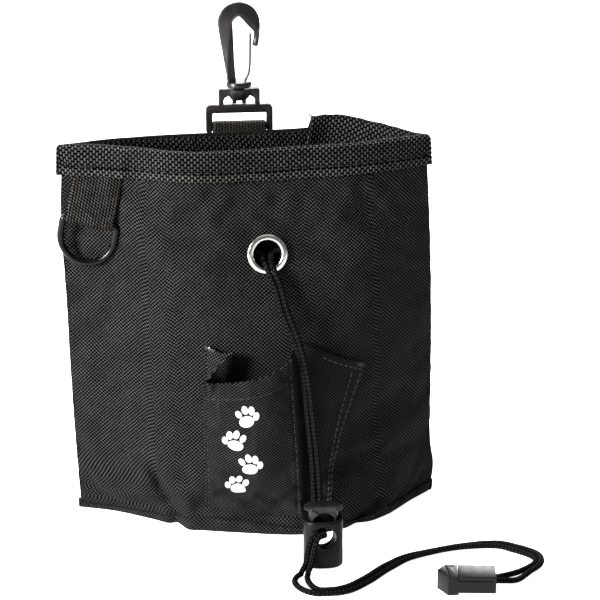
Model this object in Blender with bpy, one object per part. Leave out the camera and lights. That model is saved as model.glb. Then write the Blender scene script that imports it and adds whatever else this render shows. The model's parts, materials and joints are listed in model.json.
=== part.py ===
"""Treat pouch for dog training: a fabric pouch with a bound rim, an eyelet with a drawcord and a
cord lock, a gusseted front pocket, a D-ring on a webbing tab and a swivel hook on the back.

Units are metres. +Z is up, +X is the wearer's left, and the pouch faces -Y. The origin is the
centre of the base, on the ground.
"""

import math

import bmesh
import bpy
from mathutils import Matrix, Vector

# ---------------------------------------------------------------- driving dimensions
RIM_HEIGHT = 0.172
HALF_WIDTH_BASE = 0.0810
HALF_WIDTH_RIM = 0.0807
SIDE_SWELL = 0.0012
RIM_LEAN = -0.0034

SHELL_T = 0.0012
LINING_T = 0.0007
TAPE_T = 0.0012
GAP = 0.0003
BINDING_DROP = 0.0135
BASE_TAPE_HEIGHT = 0.0042
TIP_GAP = 0.0004
SIDE_STEPS = 20

# Depth of the wall on each side of the middle plane, by place across the width (-1 to 1).
FRONT_RIM = ((-1, 0), (-0.8, 0.0026), (-0.6, 0.0085), (-0.42, 0.0160), (-0.27, 0.0188),
             (0, 0.0166), (0.3, 0.0138), (0.55, 0.0116), (0.8, 0.0060), (1, 0))
FRONT_BASE = ((-1, 0), (-0.8, 0.0065), (-0.6, 0.0175), (-0.4, 0.0300), (-0.15, 0.0365),
              (0.2, 0.0418), (0.45, 0.0370), (0.7, 0.0245), (0.87, 0.0100), (1, 0))
BACK_RIM = ((-1, 0), (-0.8, 0.0060), (-0.55, 0.0120), (-0.3, 0.0140), (0, 0.0162),
            (0.3, 0.0190), (0.5, 0.0212), (0.75, 0.0140), (1, 0))
BACK_BASE = ((-1, 0), (-0.8, 0.0110), (-0.5, 0.0200), (0, 0.0240), (0.5, 0.0200),
             (0.8, 0.0110), (1, 0))

# The right part of the back rim stands higher, where the binding's ends overlap.
RIM_LIFT = 0.0055
LIFT_START = 0.22
LIFT_RAMP = 0.14
LIFT_FROM_Z = 0.130

EYELET_X = 0.0038
EYELET_Z = 0.1260
EYELET_HOLE_R = 0.0060
EYELET_R = 0.0090
BARREL_T = 0.0005
WASHER_T = 0.0005

LINING_INNER = SHELL_T + GAP + LINING_T
CHANNEL_HALF = 0.0120
CHANNEL_SLOPE = 0.0030
CHANNEL_GAP = 0.0030

CORD_R = 0.0015
STRAND_OFFSET = 0.0016
CORD_INSET = 0.0058
CORD_TURN_GAP = 0.0045
CORD_MOUTH_CLEAR = 0.0090

POCKET_LEFT_BOTTOM = -0.0254
POCKET_LEFT_TOP = -0.0265
POCKET_WIDTH_BOTTOM = 0.0420
POCKET_WIDTH_TOP = 0.0390
POCKET_T = 0.0014
GUSSET_T = 0.0009
POCKET_Z_BOTTOM = 0.0125
POCKET_Z_TOP = 0.0750
GUSSET_Z_TOP = 0.0860
GUSSET_RIGHT_BOTTOM = 0.0325
GUSSET_RIGHT_TOP = 0.0485

TAB_PIVOT = Vector((-0.0687, 0, 0.1558))
TAB_LEAN = math.radians(11)
TAB_YAW = math.radians(-10)
TAB_WIDTH = 0.0192
TAB_LENGTH = 0.0172
WEB_T = 0.0011
RING_WIRE_R = 0.0015
RING_HALF = 0.0116
RING_STRAIGHT = 0.0070
RING_CORNER = 0.0015

HOOK_X = -0.0040
HOOK_Y = 0.0238
SLOT_Z = 0.1737
SLOT_HEIGHT = 0.0050
SLOT_WIDTH = 0.0244
FRAME_WIDTH = 0.0300
FRAME_DEPTH = 0.0036
BAR_HEIGHT = 0.0030
STRAP_WIDTH = 0.0236
STRAP_CLEAR = 0.0008
STRAP_LOW = 0.1280
FRAME_TOP = 0.1825
WINDOW_Z = 0.1822
WINDOW_TOP = 0.1865
WINDOW_HALF = 0.0070
HOUSING_HALF = 0.0092
HOUSING_TOP = 0.1897
BOSS_R = 0.0052
BORE_R = 0.0028
NECK_R = 0.0024
COLLAR_R = 0.0056
COLLAR_TOP = 0.1929
HOOK_DEPTH = 0.0048
CROWN_R = 0.00935
CROWN_RISE = 0.0262
GATE_T = 0.0008
GATE_WIDTH = 0.0034

LOCK_X = 0.0226
LOCK_Y = -0.0718
LOCK_WIDTH = 0.0170
LOCK_DEPTH = 0.0130
LOCK_HEIGHT = 0.0220
LOCK_WALL = 0.0018
LOCK_FLOOR = 0.0015
LOCK_HOLE_Z = 0.0140
LOCK_HOLE_R = 0.0050
PLUNGER_TRAVEL = 0.0042
PLUNGER_LOW = 0.0090
SPRING_R = 0.0026
SPRING_WIRE_R = 0.00025
SPRING_TURNS = 4
CORD_PASS_Z = 0.0166

END_CENTRE = Vector((0.0795, -0.1030, 0))
END_YAW = math.radians(-8)
END_LENGTH = 0.0245
END_DEPTH = 0.0115
END_HEIGHT = 0.0086
LID_T = 0.0020
LID_START = 0.0085
NOSE = 0.0040
CLIP_WALL = 0.0014
CLIP_FLOOR = 0.0012

SOFT_EDGE = 0.0005
CUT_OVER = 0.0020

CYLINDER_STEPS = 24


# ---------------------------------------------------------------- general helpers
def clear_scene():
    """Remove every object that the opened file holds."""
    for obj in list(bpy.data.objects):
        bpy.data.objects.remove(obj, do_unlink=True)


def material(name, colour, roughness, metallic=0.0):
    """A Principled material, made once and shared by the pieces of one finish."""
    if name in bpy.data.materials:
        return bpy.data.materials[name]
    mat = bpy.data.materials.new(name)
    mat.use_nodes = True
    shader = mat.node_tree.nodes["Principled BSDF"]
    shader.inputs["Base Color"].default_value = (*colour, 1.0)
    shader.inputs["Roughness"].default_value = roughness
    shader.inputs["Metallic"].default_value = metallic
    return mat


def fabric():
    return material("black_oxford_fabric", (0.012, 0.012, 0.013), 0.85)


def webbing():
    return material("black_webbing", (0.016, 0.015, 0.014), 0.8)


def cord():
    return material("black_braided_cord", (0.010, 0.009, 0.009), 0.75)


def nickel():
    return material("nickel_plate", (0.72, 0.71, 0.69), 0.22, 1.0)


def plastic():
    return material("dark_grey_plastic", (0.055, 0.052, 0.054), 0.42)


def gloss_plastic():
    return material("gloss_black", (0.012, 0.012, 0.013), 0.2)


def steel():
    return material("spring_steel", (0.45, 0.45, 0.46), 0.3, 1.0)


def add_object(name, bm, mat, origin=None):
    """Turn a bmesh in world coordinates into a named object whose origin is at the given point."""
    bmesh.ops.recalc_face_normals(bm, faces=bm.faces)
    mesh = bpy.data.meshes.new(name)
    place = Vector(origin) if origin else Vector()
    bmesh.ops.translate(bm, vec=-place, verts=bm.verts)
    bm.to_mesh(mesh)
    bm.free()
    mesh.shade_smooth()
    mesh.set_sharp_from_angle(angle=math.radians(40))
    mesh.materials.append(mat)
    obj = bpy.data.objects.new(name, mesh)
    obj.location = place
    bpy.context.scene.collection.objects.link(obj)
    return obj


def helper_shape(obj):
    """Mark an object as a cutter or a union partner that isn't part of the model."""
    obj.hide_render = True
    obj.display_type = "WIRE"
    return obj


def boolean(obj, partner, operation):
    """Add an exact Boolean modifier that stays on the object."""
    mod = obj.modifiers.new(partner.name, "BOOLEAN")
    mod.operation = operation
    mod.solver = "EXACT"
    mod.object = helper_shape(partner)


def bevel(obj, width, segments=2):
    """Round the sharp edges of an object."""
    mod = obj.modifiers.new("rounded_edges", "BEVEL")
    mod.width = width
    mod.segments = segments
    mod.limit_method = "ANGLE"
    mod.angle_limit = math.radians(35)


def mix(a, b, w):
    return a + (b - a) * w


def smoothstep(w):
    w = min(1.0, max(0.0, w))
    return w * w * (3 - 2 * w)


def spline(keys, t):
    """A smooth curve through the keys; each key's slope comes from its neighbours."""
    last = len(keys) - 1
    i = 0
    while i < last - 1 and t > keys[i + 1][0]:
        i += 1

    def slope(j):
        low, high = keys[max(j - 1, 0)], keys[min(j + 1, last)]
        return (high[1] - low[1]) / (high[0] - low[0])

    span = keys[i + 1][0] - keys[i][0]
    s = (t - keys[i][0]) / span
    return ((2 * s ** 3 - 3 * s ** 2 + 1) * keys[i][1] + (s ** 3 - 2 * s ** 2 + s) * slope(i) * span
            + (3 * s ** 2 - 2 * s ** 3) * keys[i + 1][1] + (s ** 3 - s ** 2) * slope(i + 1) * span)


def smooth_path(points, per_span=4):
    """Catmull-Rom points through a list of places."""
    points = [Vector(p) for p in points]
    ends = [2 * points[0] - points[1]] + points + [2 * points[-1] - points[-2]]
    path = []
    for a, b, c, d in zip(ends, ends[1:], ends[2:], ends[3:]):
        for k in range(per_span):
            s = k / per_span
            path.append(0.5 * (2 * b + (c - a) * s + (2 * a - 5 * b + 4 * c - d) * s ** 2
                               + (3 * b - a - 3 * c + d) * s ** 3))
    path.append(points[-1])
    return path


def skin(rings, closed=False):
    """Join rings of equal length into a closed body; the ends are capped or joined."""
    bm = bmesh.new()
    loops = [[bm.verts.new(p) for p in ring] for ring in rings]
    count = len(loops[0])
    pairs = list(zip(loops, loops[1:]))
    if closed:
        pairs.append((loops[-1], loops[0]))
    for low, high in pairs:
        for k in range(count):
            n = (k + 1) % count
            bm.faces.new((low[k], low[n], high[n], high[k]))
    if not closed:
        bm.faces.new(loops[0][::-1])
        bm.faces.new(loops[-1])
    return bm


def extrude_outline(points, depth_from, depth_to, place):
    """A plate whose outline is (x, z) points, extruded along Y and placed by a matrix."""
    rings = [[place @ Vector((x, y, z)) for x, z in points] for y in (depth_from, depth_to)]
    return skin(rings)


def slab(grid, thickness):
    """A sheet with the given thickness along a grid of middle points."""
    rows, cols = len(grid), len(grid[0])

    def normal(r, c):
        down = grid[min(r + 1, rows - 1)][c] - grid[max(r - 1, 0)][c]
        across = grid[r][min(c + 1, cols - 1)] - grid[r][max(c - 1, 0)]
        return down.cross(across).normalized() * thickness / 2

    bm = bmesh.new()
    sides = []
    for sign in (1, -1):
        sides.append([[bm.verts.new(grid[r][c] + normal(r, c) * sign) for c in range(cols)]
                      for r in range(rows)])
    for side in sides:
        for r in range(rows - 1):
            for c in range(cols - 1):
                bm.faces.new((side[r][c], side[r][c + 1], side[r + 1][c + 1], side[r + 1][c]))
    border = [(0, c) for c in range(cols)] + [(r, cols - 1) for r in range(1, rows)]
    border += [(rows - 1, c) for c in range(cols - 2, -1, -1)]
    border += [(r, 0) for r in range(rows - 2, 0, -1)]
    for (r1, c1), (r2, c2) in zip(border, border[1:] + border[:1]):
        bm.faces.new((sides[0][r1][c1], sides[0][r2][c2], sides[1][r2][c2], sides[1][r1][c1]))
    return bm


def strip(path, thickness, width, place):
    """A flat strap: its middle line is (y, z) points, its width runs along local X."""
    grid = [[place @ Vector((x, y, z)) for x in (-width / 2, width / 2)] for y, z in path]
    return slab(grid, thickness)


def round_section(radius, steps=8):
    """Points of a circle, as (side, up) pairs, with a flat facing each way."""
    angles = [2 * math.pi * (k + 0.5) / steps for k in range(steps)]
    return [(radius * math.cos(angle), radius * math.sin(angle)) for angle in angles]


def twin_section():
    """Two cords lying side by side, joined at a waist."""
    points = []
    for side, middle in ((1, 0), (-1, math.pi)):
        for k in range(6):
            angle = middle + math.radians(-115 + 46 * k)
            points.append((side * STRAND_OFFSET + CORD_R * math.cos(angle), CORD_R * math.sin(angle)))
    return points


def sweep(path, section, up, closed=False):
    """Sweep a section along a path; the section's side lies across the path and the up vector."""
    rings = []
    last = len(path) - 1
    for i, point in enumerate(path):
        before = path[i - 1] if i or closed else point
        after = path[(i + 1) % len(path)] if i < last or closed else point
        tangent = (after - before).normalized()
        side = tangent.cross(Vector(up)).normalized()
        top = side.cross(tangent)
        rings.append([point + side * a + top * b for a, b in section])
    return skin(rings, closed)


def oval(width, depth, z, place, power=2.6, steps=28):
    """A rounded oval ring at height z: a superellipse."""
    ring = []
    for k in range(steps):
        angle = 2 * math.pi * k / steps
        c, s = math.cos(angle), math.sin(angle)
        x = width / 2 * math.copysign(abs(c) ** (2 / power), c)
        y = depth / 2 * math.copysign(abs(s) ** (2 / power), s)
        ring.append(place @ Vector((x, y, z)))
    return ring


def turned(profile, place, closed=True, steps=CYLINDER_STEPS):
    """A turned piece: a profile of (radius, height) points, spun about local Z."""
    rings = [[place @ Vector((r * math.cos(2 * math.pi * k / steps),
                              r * math.sin(2 * math.pi * k / steps), h)) for k in range(steps)]
             for r, h in profile]
    return skin(rings, closed)


def cylinder(name, radius, start, end, steps=CYLINDER_STEPS):
    """A plain round bar from start to end, used as a cutter or to join to another shape."""
    axis = Vector(end) - Vector(start)
    turn = axis.to_track_quat("Z", "Y").to_matrix().to_4x4()
    place = Matrix.Translation(Vector(start)) @ turn
    bm = turned([(radius, 0), (radius, axis.length)], place, closed=False, steps=steps)
    return add_object(name, bm, plastic())


# ---------------------------------------------------------------- the pouch wall
def wall_centre(v):
    return RIM_LEAN * v ** 2.2


def wall_half(v):
    return mix(HALF_WIDTH_BASE, HALF_WIDTH_RIM, v) + SIDE_SWELL * math.sin(math.pi * v)


def side_depth(side, x, v, inset):
    """How far the wall stands from the middle plane at x, moved inward by inset."""
    base_keys, rim_keys = side
    t = min(1.0, max(-1.0, (x - wall_centre(v)) / wall_half(v)))

    def depth(place):
        return mix(spline(base_keys, place), spline(rim_keys, place), v)

    low, high = max(-1.0, t - 0.02), min(1.0, t + 0.02)
    slope = (depth(high) - depth(low)) / ((high - low) * wall_half(v))
    return depth(t) - inset * math.sqrt(1 + slope * slope)


FRONT = (FRONT_BASE, FRONT_RIM)
BACK = (BACK_BASE, BACK_RIM)


def wall_tip(v, inset, gap, direction):
    """Where the front and the back come within the gap of each other."""
    near = wall_centre(v)
    far = near + direction * (wall_half(v) + max(0.0, -inset))
    if side_depth(FRONT, far, v, inset) + side_depth(BACK, far, v, inset) > gap:
        return far
    for _ in range(30):
        middle = (near + far) / 2
        if side_depth(FRONT, middle, v, inset) + side_depth(BACK, middle, v, inset) > gap:
            near = middle
        else:
            far = middle
    return near


def rim_lift(x, z):
    """How much higher the back stands at this place than the level rim."""
    v = z / RIM_HEIGHT
    t = (x - wall_centre(v)) / wall_half(v)
    reach = max(0.0, 1 - t) / (1 - LIFT_START - LIFT_RAMP)
    share = min(1.0, max(0.0, (z - LIFT_FROM_Z) / (RIM_HEIGHT - LIFT_FROM_Z)))
    return RIM_LIFT * smoothstep((t - LIFT_START) / LIFT_RAMP) * min(1.0, reach) * share


def wall_ring(z, inset, gap=TIP_GAP):
    """A ring round the pouch at height z: the front from left to right, then the back."""
    v = z / RIM_HEIGHT
    left = wall_tip(v, inset, gap, -1)
    right = wall_tip(v, inset, gap, 1)
    front, back = [], []
    for i in range(SIDE_STEPS + 1):
        x = (left + right) / 2 - math.cos(math.pi * i / SIDE_STEPS) * (right - left) / 2
        front.append(Vector((x, -side_depth(FRONT, x, v, inset), z)))
        back.append(Vector((x, side_depth(BACK, x, v, inset), z + rim_lift(x, z))))
    return front + back[::-1]


def band(profile, gap=TIP_GAP):
    """A closed band round the pouch whose section is (inset, z) points."""
    return skin([wall_ring(z, inset, gap) for inset, z in profile], closed=True)


def front_y(x, z):
    return -side_depth(FRONT, x, z / RIM_HEIGHT, 0)


def back_y(x, z):
    return side_depth(BACK, x, z / RIM_HEIGHT, 0)


def heights(low, high, steps):
    return [mix(low, high, i / steps) for i in range(steps + 1)]


def eyelet_place():
    """The eyelet's own frame: +Z points out of the front wall."""
    rise = (front_y(EYELET_X, EYELET_Z + 0.005) - front_y(EYELET_X, EYELET_Z - 0.005)) / 0.01
    outward = Vector((0, -1, rise)).normalized()
    centre = Vector((EYELET_X, front_y(EYELET_X, EYELET_Z), EYELET_Z))
    return Matrix.Translation(centre) @ outward.to_track_quat("Z", "X").to_matrix().to_4x4()


def eyelet_cutter(name):
    place = eyelet_place()
    radius = EYELET_HOLE_R + BARREL_T + GAP
    return cylinder(name, radius, place @ Vector((0, 0, 0.004)), place @ Vector((0, 0, -0.006)))


def make_wall():
    """Outer shell, lining, base and the tapes that bind their edges."""
    top = RIM_HEIGHT - TAPE_T - 2 * GAP
    outer = [(0, z) for z in heights(0.0006, top, 7)]
    inner = [(SHELL_T, z) for z in heights(top, 0.0006, 7)]
    shell = add_object("outer_shell", band(outer + inner), fabric())
    boolean(shell, eyelet_cutter("shell_eyelet_hole"), "DIFFERENCE")

    lining_out = SHELL_T + GAP
    lining_top = RIM_HEIGHT - BINDING_DROP - GAP
    outer = [(lining_out, z) for z in heights(0.0020, lining_top, 6)]
    inner = [(lining_out + LINING_T, z) for z in heights(lining_top, 0.0020, 6)]
    lining = add_object("lining_wall", band(outer + inner), fabric())
    boolean(lining, eyelet_cutter("lining_eyelet_hole"), "DIFFERENCE")

    panel_inset = SHELL_T + GAP
    panel = [wall_ring(z, panel_inset) for z in (0.0, 0.0014)]
    add_object("base_panel", skin(panel), fabric())
    floor_inset = panel_inset + LINING_T + GAP
    floor = [wall_ring(z, floor_inset) for z in (0.0020, 0.0026)]
    add_object("lining_base", skin(floor), fabric())


def make_bindings():
    """The folded tape over the rim and the narrow tape round the base."""
    outset = -GAP - TAPE_T
    inset = SHELL_T + GAP
    under = RIM_HEIGHT - TAPE_T - GAP
    low = RIM_HEIGHT - BINDING_DROP
    soft = SOFT_EDGE
    rim = [(outset, low), (outset, RIM_HEIGHT - soft), (outset + soft, RIM_HEIGHT),
           (inset + TAPE_T - soft, RIM_HEIGHT), (inset + TAPE_T, RIM_HEIGHT - soft),
           (inset + TAPE_T, low), (inset, low), (inset, under), (-GAP, under), (-GAP, low)]
    add_object("rim_binding", band(rim), webbing())
    base = [(outset, 0.0009), (outset, BASE_TAPE_HEIGHT - soft), (outset + soft, BASE_TAPE_HEIGHT),
            (-GAP, BASE_TAPE_HEIGHT), (-GAP, 0.0004), (outset + soft, 0.0004)]
    add_object("base_binding", band(base), webbing())


# ---------------------------------------------------------------- drawcord, channel and eyelet

def make_channel():
    """The casing sewn to the lining, in which the drawcord runs round the pouch."""
    edge = LINING_INNER + GAP
    crown = CORD_INSET + CORD_R + SOFT_EDGE
    t = LINING_T
    low, high = EYELET_Z - CHANNEL_HALF, EYELET_Z + CHANNEL_HALF
    slope = CHANNEL_SLOPE
    section = [(edge, low), (edge + t, low), (crown + t, low + slope), (crown + t, high - slope),
               (edge + t, high), (edge, high), (crown, high - slope - t / 2),
               (crown, low + slope + t / 2)]
    add_object("cord_channel", band(section, CHANNEL_GAP), fabric())


def make_drawcord_loop():
    """The cord inside the channel; both ends come out through the eyelet."""
    ring = wall_ring(EYELET_Z, CORD_INSET, CORD_TURN_GAP)
    for point in ring:
        point.z = EYELET_Z
    half = SIDE_STEPS + 1
    right = [p for p in ring[:half] if p.x > EYELET_X + CORD_MOUTH_CLEAR]
    left = [p for p in ring[:half] if p.x < EYELET_X - CORD_MOUTH_CLEAR]
    mouth = front_y(EYELET_X, EYELET_Z)
    out_y, in_y = mouth - 0.0010, mouth + 0.0048
    start = [Vector((EYELET_X + STRAND_OFFSET + 0.0001, out_y, EYELET_Z - 0.0030)),
             Vector((EYELET_X + STRAND_OFFSET + 0.0004, in_y - 0.0016, EYELET_Z - 0.0012)),
             Vector((EYELET_X + 0.0042, in_y + 0.0006, EYELET_Z))]
    finish = [Vector((2 * EYELET_X - p.x, p.y, p.z)) for p in reversed(start)]
    path = smooth_path(start + right + ring[half:] + left + finish, 2)
    bm = sweep(path, round_section(CORD_R, 8), (0, 0, 1))
    add_object("drawcord_loop", bm, cord())


def make_eyelet():
    """The flanged eyelet from the front and its washer inside."""
    place = eyelet_place()
    lift = GAP + 0.0002
    hole, outer = EYELET_HOLE_R, EYELET_R
    reach = -(LINING_INNER + 0.0016)
    flange = [(hole, reach), (hole, lift + 0.0010), (hole + 0.0005, lift + 0.0016),
              (hole + 0.0014, lift + 0.0018), (outer - 0.0005, lift + 0.0012), (outer, lift + 0.0004),
              (outer - 0.0002, lift), (hole + BARREL_T, lift), (hole + BARREL_T, reach)]
    add_object("eyelet_flange", turned(flange, place, steps=32), nickel())
    near = -(LINING_INNER + 0.0009)
    rim = hole + BARREL_T + GAP
    washer = [(rim, near), (outer - 0.0008, near), (outer - 0.0008, near - WASHER_T),
              (rim, near - WASHER_T)]
    add_object("eyelet_washer", turned(washer, place, steps=32), nickel())


def make_outer_cord():
    """The twin drawcord from the eyelet to the cord lock, through it and along the ground."""
    mouth = front_y(EYELET_X, EYELET_Z)
    back_of_lock = LOCK_Y + LOCK_DEPTH / 2
    front_of_lock = LOCK_Y - LOCK_DEPTH / 2
    upper = [(EYELET_X, mouth - 0.0018, EYELET_Z - 0.0030),
             (EYELET_X, mouth - 0.0030, EYELET_Z - 0.0031),
             (EYELET_X + 0.0010, mouth - 0.0056, EYELET_Z - 0.0056),
             (EYELET_X + 0.0030, mouth - 0.0068, EYELET_Z - 0.0105),
             (0.0088, -0.0340, 0.1050), (0.0142, -0.0385, 0.0900), (0.0180, -0.0440, 0.0740),
             (0.0203, -0.0500, 0.0560), (0.0216, -0.0550, 0.0400), (0.0215, -0.0590, 0.0270),
             (LOCK_X, back_of_lock + 0.0034, CORD_PASS_Z + 0.0022),
             (LOCK_X, back_of_lock + 0.0020, CORD_PASS_Z + 0.0002),
             (LOCK_X, back_of_lock + 0.0011, CORD_PASS_Z)]
    bm = sweep(smooth_path(upper, 3), twin_section(), (0, -1, 0))
    add_object("drawcord_upper", bm, cord())

    inside = [Vector((LOCK_X, back_of_lock + 0.0006, CORD_PASS_Z)),
              Vector((LOCK_X, front_of_lock - 0.0006, CORD_PASS_Z))]
    bm = sweep(inside, twin_section(), (0, 0, 1))
    add_object("drawcord_in_lock", bm, cord())

    drop = [(LOCK_X, front_of_lock - 0.0010, CORD_PASS_Z),
            (LOCK_X, front_of_lock - 0.0018, CORD_PASS_Z),
            (LOCK_X - 0.0006, front_of_lock - 0.0034, CORD_PASS_Z - 0.0012),
            (LOCK_X - 0.0026, front_of_lock - 0.0050, 0.0122),
            (LOCK_X - 0.0050, front_of_lock - 0.0062, 0.0072),
            (LOCK_X - 0.0072, front_of_lock - 0.0076, 0.0034),
            (0.0138, -0.0872, 0.0020)]
    bm = sweep(smooth_path(drop, 3), twin_section(), (0.3, -0.5, 1))
    add_object("drawcord_drop", bm, cord())

    z = CORD_R + 0.0001
    tail = [(0.0130, -0.0884), (0.0110, -0.0930), (0.0118, -0.0986), (0.0160, -0.1020),
            (0.0225, -0.1030), (0.0310, -0.0999), (0.0400, -0.0923), (0.0492, -0.0818),
            (0.0584, -0.0739), (0.0710, -0.0693), (0.0837, -0.0657), (0.0997, -0.0646),
            (0.1085, -0.0705), (0.1150, -0.0780), (0.1150, -0.0845), (0.1095, -0.0905),
            (0.1010, -0.0970)]
    entry = end_place() @ Vector((END_LENGTH / 2 + 0.0012, 0, 0))
    points = [(x, y, z) for x, y in tail] + [(entry.x, entry.y, 0.0034)]
    bm = sweep(smooth_path(points, 3), twin_section(), (0, 0, 1))
    add_object("drawcord_tail", bm, cord())


# ---------------------------------------------------------------- front pocket
def pocket_point(u, w):
    """A middle point of the pocket's face: u from left to right, w from bottom to top."""
    x = mix(POCKET_LEFT_BOTTOM, POCKET_LEFT_TOP, w)
    x += u * mix(POCKET_WIDTH_BOTTOM, POCKET_WIDTH_TOP, w)
    pull = smoothstep((u - 0.7) / 0.3)
    low = POCKET_Z_BOTTOM - 0.0030 * u
    high = POCKET_Z_TOP + 0.0020 * u + 0.0070 * pull
    z = mix(low, high, w)
    standoff = 0.0040 + 0.0130 * w ** 0.85 + 0.0030 * math.sin(math.pi * w)
    standoff -= 0.0060 * pull * w
    return Vector((x, front_y(x, z) - standoff, z))


def make_pocket():
    """The pocket's face, hinged at its bottom seam, and the bellows at its two sides."""
    rows = [[pocket_point(u / 6, w / 6) for u in range(7)] for w in range(7)]
    face = slab(rows, POCKET_T)
    add_object("pocket_front", face, fabric(), origin=pocket_point(0.5, 0))

    back = POCKET_T / 2 + GAP + GUSSET_T / 2
    left, right = [], []
    for i in range(7):
        w = i / 6
        z_wall = mix(POCKET_Z_BOTTOM, GUSSET_Z_TOP, w)
        edge = pocket_point(0, w)
        x = edge.x + 0.0010
        wall = Vector((x, front_y(x, z_wall) - 0.0010, z_wall))
        front = Vector((x, edge.y + back, edge.z))
        fold_in = mix(0.0035, 0.0095, w)
        fold = Vector((x + fold_in, mix(front.y, wall.y, 0.5), mix(edge.z, z_wall, 0.8)))
        left.append([wall, fold, front])
        edge = pocket_point(1, w)
        z_wall = mix(POCKET_Z_BOTTOM - 0.003, GUSSET_Z_TOP - 0.0135, w)
        x = mix(GUSSET_RIGHT_BOTTOM, GUSSET_RIGHT_TOP, w * w)
        outer = Vector((x, front_y(x, z_wall) - 0.0010, z_wall))
        x = edge.x + 0.0010
        z_fold = mix(POCKET_Z_BOTTOM - 0.003, GUSSET_Z_TOP - 0.0035, w)
        row = []
        for k in range(6):
            x_row, z_row = mix(outer.x, x, k / 5), mix(z_wall, z_fold, k / 5)
            row.append(Vector((x_row, front_y(x_row, z_row) - 0.0011, z_row)))
        right.append(row + [Vector((edge.x - 0.0010, edge.y + back, edge.z))])
    add_object("pocket_gusset_left", slab(left, GUSSET_T), fabric())
    add_object("pocket_gusset_right", slab(right, GUSSET_T), fabric())


# ---------------------------------------------------------------- D-ring and its tab
def tab_place():
    """The tab's frame: local X along the ring's bar, local -Z down the tab."""
    x = TAB_PIVOT.x
    y = front_y(x + TAB_WIDTH / 2, TAB_PIVOT.z) - GAP
    turn = Matrix.Rotation(TAB_YAW, 4, "Z") @ Matrix.Rotation(TAB_LEAN, 4, "Y")
    return Matrix.Translation(Vector((x, y + 0.0018, TAB_PIVOT.z))) @ turn


def make_tab_and_ring():
    """A webbing tab folded round the straight bar of a D-ring."""
    place = tab_place()
    back_y_local = -WEB_T / 2 - 0.0006
    fold_r = RING_WIRE_R + GAP + WEB_T / 2
    centre_y = back_y_local - fold_r
    centre_z = -TAB_LENGTH
    path = [(back_y_local, 0), (back_y_local, -0.010)]
    for k in range(7):
        angle = math.radians(30 * k)
        path.append((centre_y + fold_r * math.cos(angle), centre_z - fold_r * math.sin(angle)))
    path += [(centre_y - 0.0012, centre_z + 0.0050), (back_y_local - WEB_T - 0.0006, -0.008),
             (back_y_local - WEB_T - 0.0004, 0)]
    bm = strip(path, WEB_T, TAB_WIDTH, place)
    add_object("d_ring_tab", bm, webbing(), origin=place.translation)

    corner = RING_CORNER
    path = []
    for cx, cz, start, end, radius in (
            (RING_HALF - corner, -corner, 90, 0, corner),
            (0, -RING_STRAIGHT, 0, -180, RING_HALF),
            (-RING_HALF + corner, -corner, 180, 90, corner)):
        steps = 13 if radius == RING_HALF else 3
        for k in range(steps + 1):
            angle = math.radians(mix(start, end, k / steps))
            path.append(Vector((cx + radius * math.cos(angle), 0, cz + radius * math.sin(angle))))
    bar = place @ Matrix.Translation(Vector((0, centre_y, centre_z)))
    path = [bar @ p for p in path]
    bm = sweep(path, round_section(RING_WIRE_R, 8), bar.to_3x3() @ Vector((0, 1, 0)), closed=True)
    add_object("d_ring", bm, gloss_plastic(), origin=bar.translation)


# ---------------------------------------------------------------- swivel hook
def hook_place():
    return Matrix.Translation(Vector((HOOK_X, HOOK_Y, 0)))


def rounded_top(half, low, high, radius):
    """An outline with square bottom corners and round top corners, as (x, z) points."""
    points = [(-half, low), (half, low)]
    for cx, start in ((half - radius, 0), (radius - half, 90)):
        for k in range(4):
            angle = math.radians(start + 30 * k)
            points.append((cx + radius * math.cos(angle), high - radius + radius * math.sin(angle)))
    return points


def make_hook_base():
    """The frame that the strap passes through, with the swivel housing above it."""
    place = hook_place()
    depth = FRAME_DEPTH / 2
    outline = rounded_top(FRAME_WIDTH / 2, SLOT_Z - BAR_HEIGHT, FRAME_TOP, 0.0018)
    frame = add_object("hook_base", extrude_outline(outline, -depth, depth, place), plastic(),
                       origin=(HOOK_X, HOOK_Y, SLOT_Z - BAR_HEIGHT / 2))
    housing = rounded_top(HOUSING_HALF, FRAME_TOP - 0.0012, HOUSING_TOP, 0.0007)
    block_depth = depth + 0.0004
    upper = add_object("hook_housing_block", extrude_outline(housing, -block_depth, block_depth, place),
                       plastic())
    boolean(frame, upper, "UNION")
    boss = cylinder("hook_boss", BOSS_R, (HOOK_X, HOOK_Y, WINDOW_TOP), (HOOK_X, HOOK_Y, HOUSING_TOP))
    boolean(frame, boss, "UNION")
    deep = 2 * FRAME_DEPTH
    slot = rounded_top(SLOT_WIDTH / 2, SLOT_Z, SLOT_Z + SLOT_HEIGHT, 0.0005)
    cut = add_object("hook_slot_cut", extrude_outline(slot, -deep, deep, place), plastic())
    boolean(frame, cut, "DIFFERENCE")
    window = rounded_top(WINDOW_HALF, WINDOW_Z, WINDOW_TOP, 0.0006)
    cut = add_object("hook_window_cut", extrude_outline(window, -deep, deep, place), plastic())
    boolean(frame, cut, "DIFFERENCE")
    bore = cylinder("hook_bore_cut", BORE_R, (HOOK_X, HOOK_Y, WINDOW_Z + 0.002),
                    (HOOK_X, HOOK_Y, HOUSING_TOP + 0.002))
    boolean(frame, bore, "DIFFERENCE")


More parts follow.
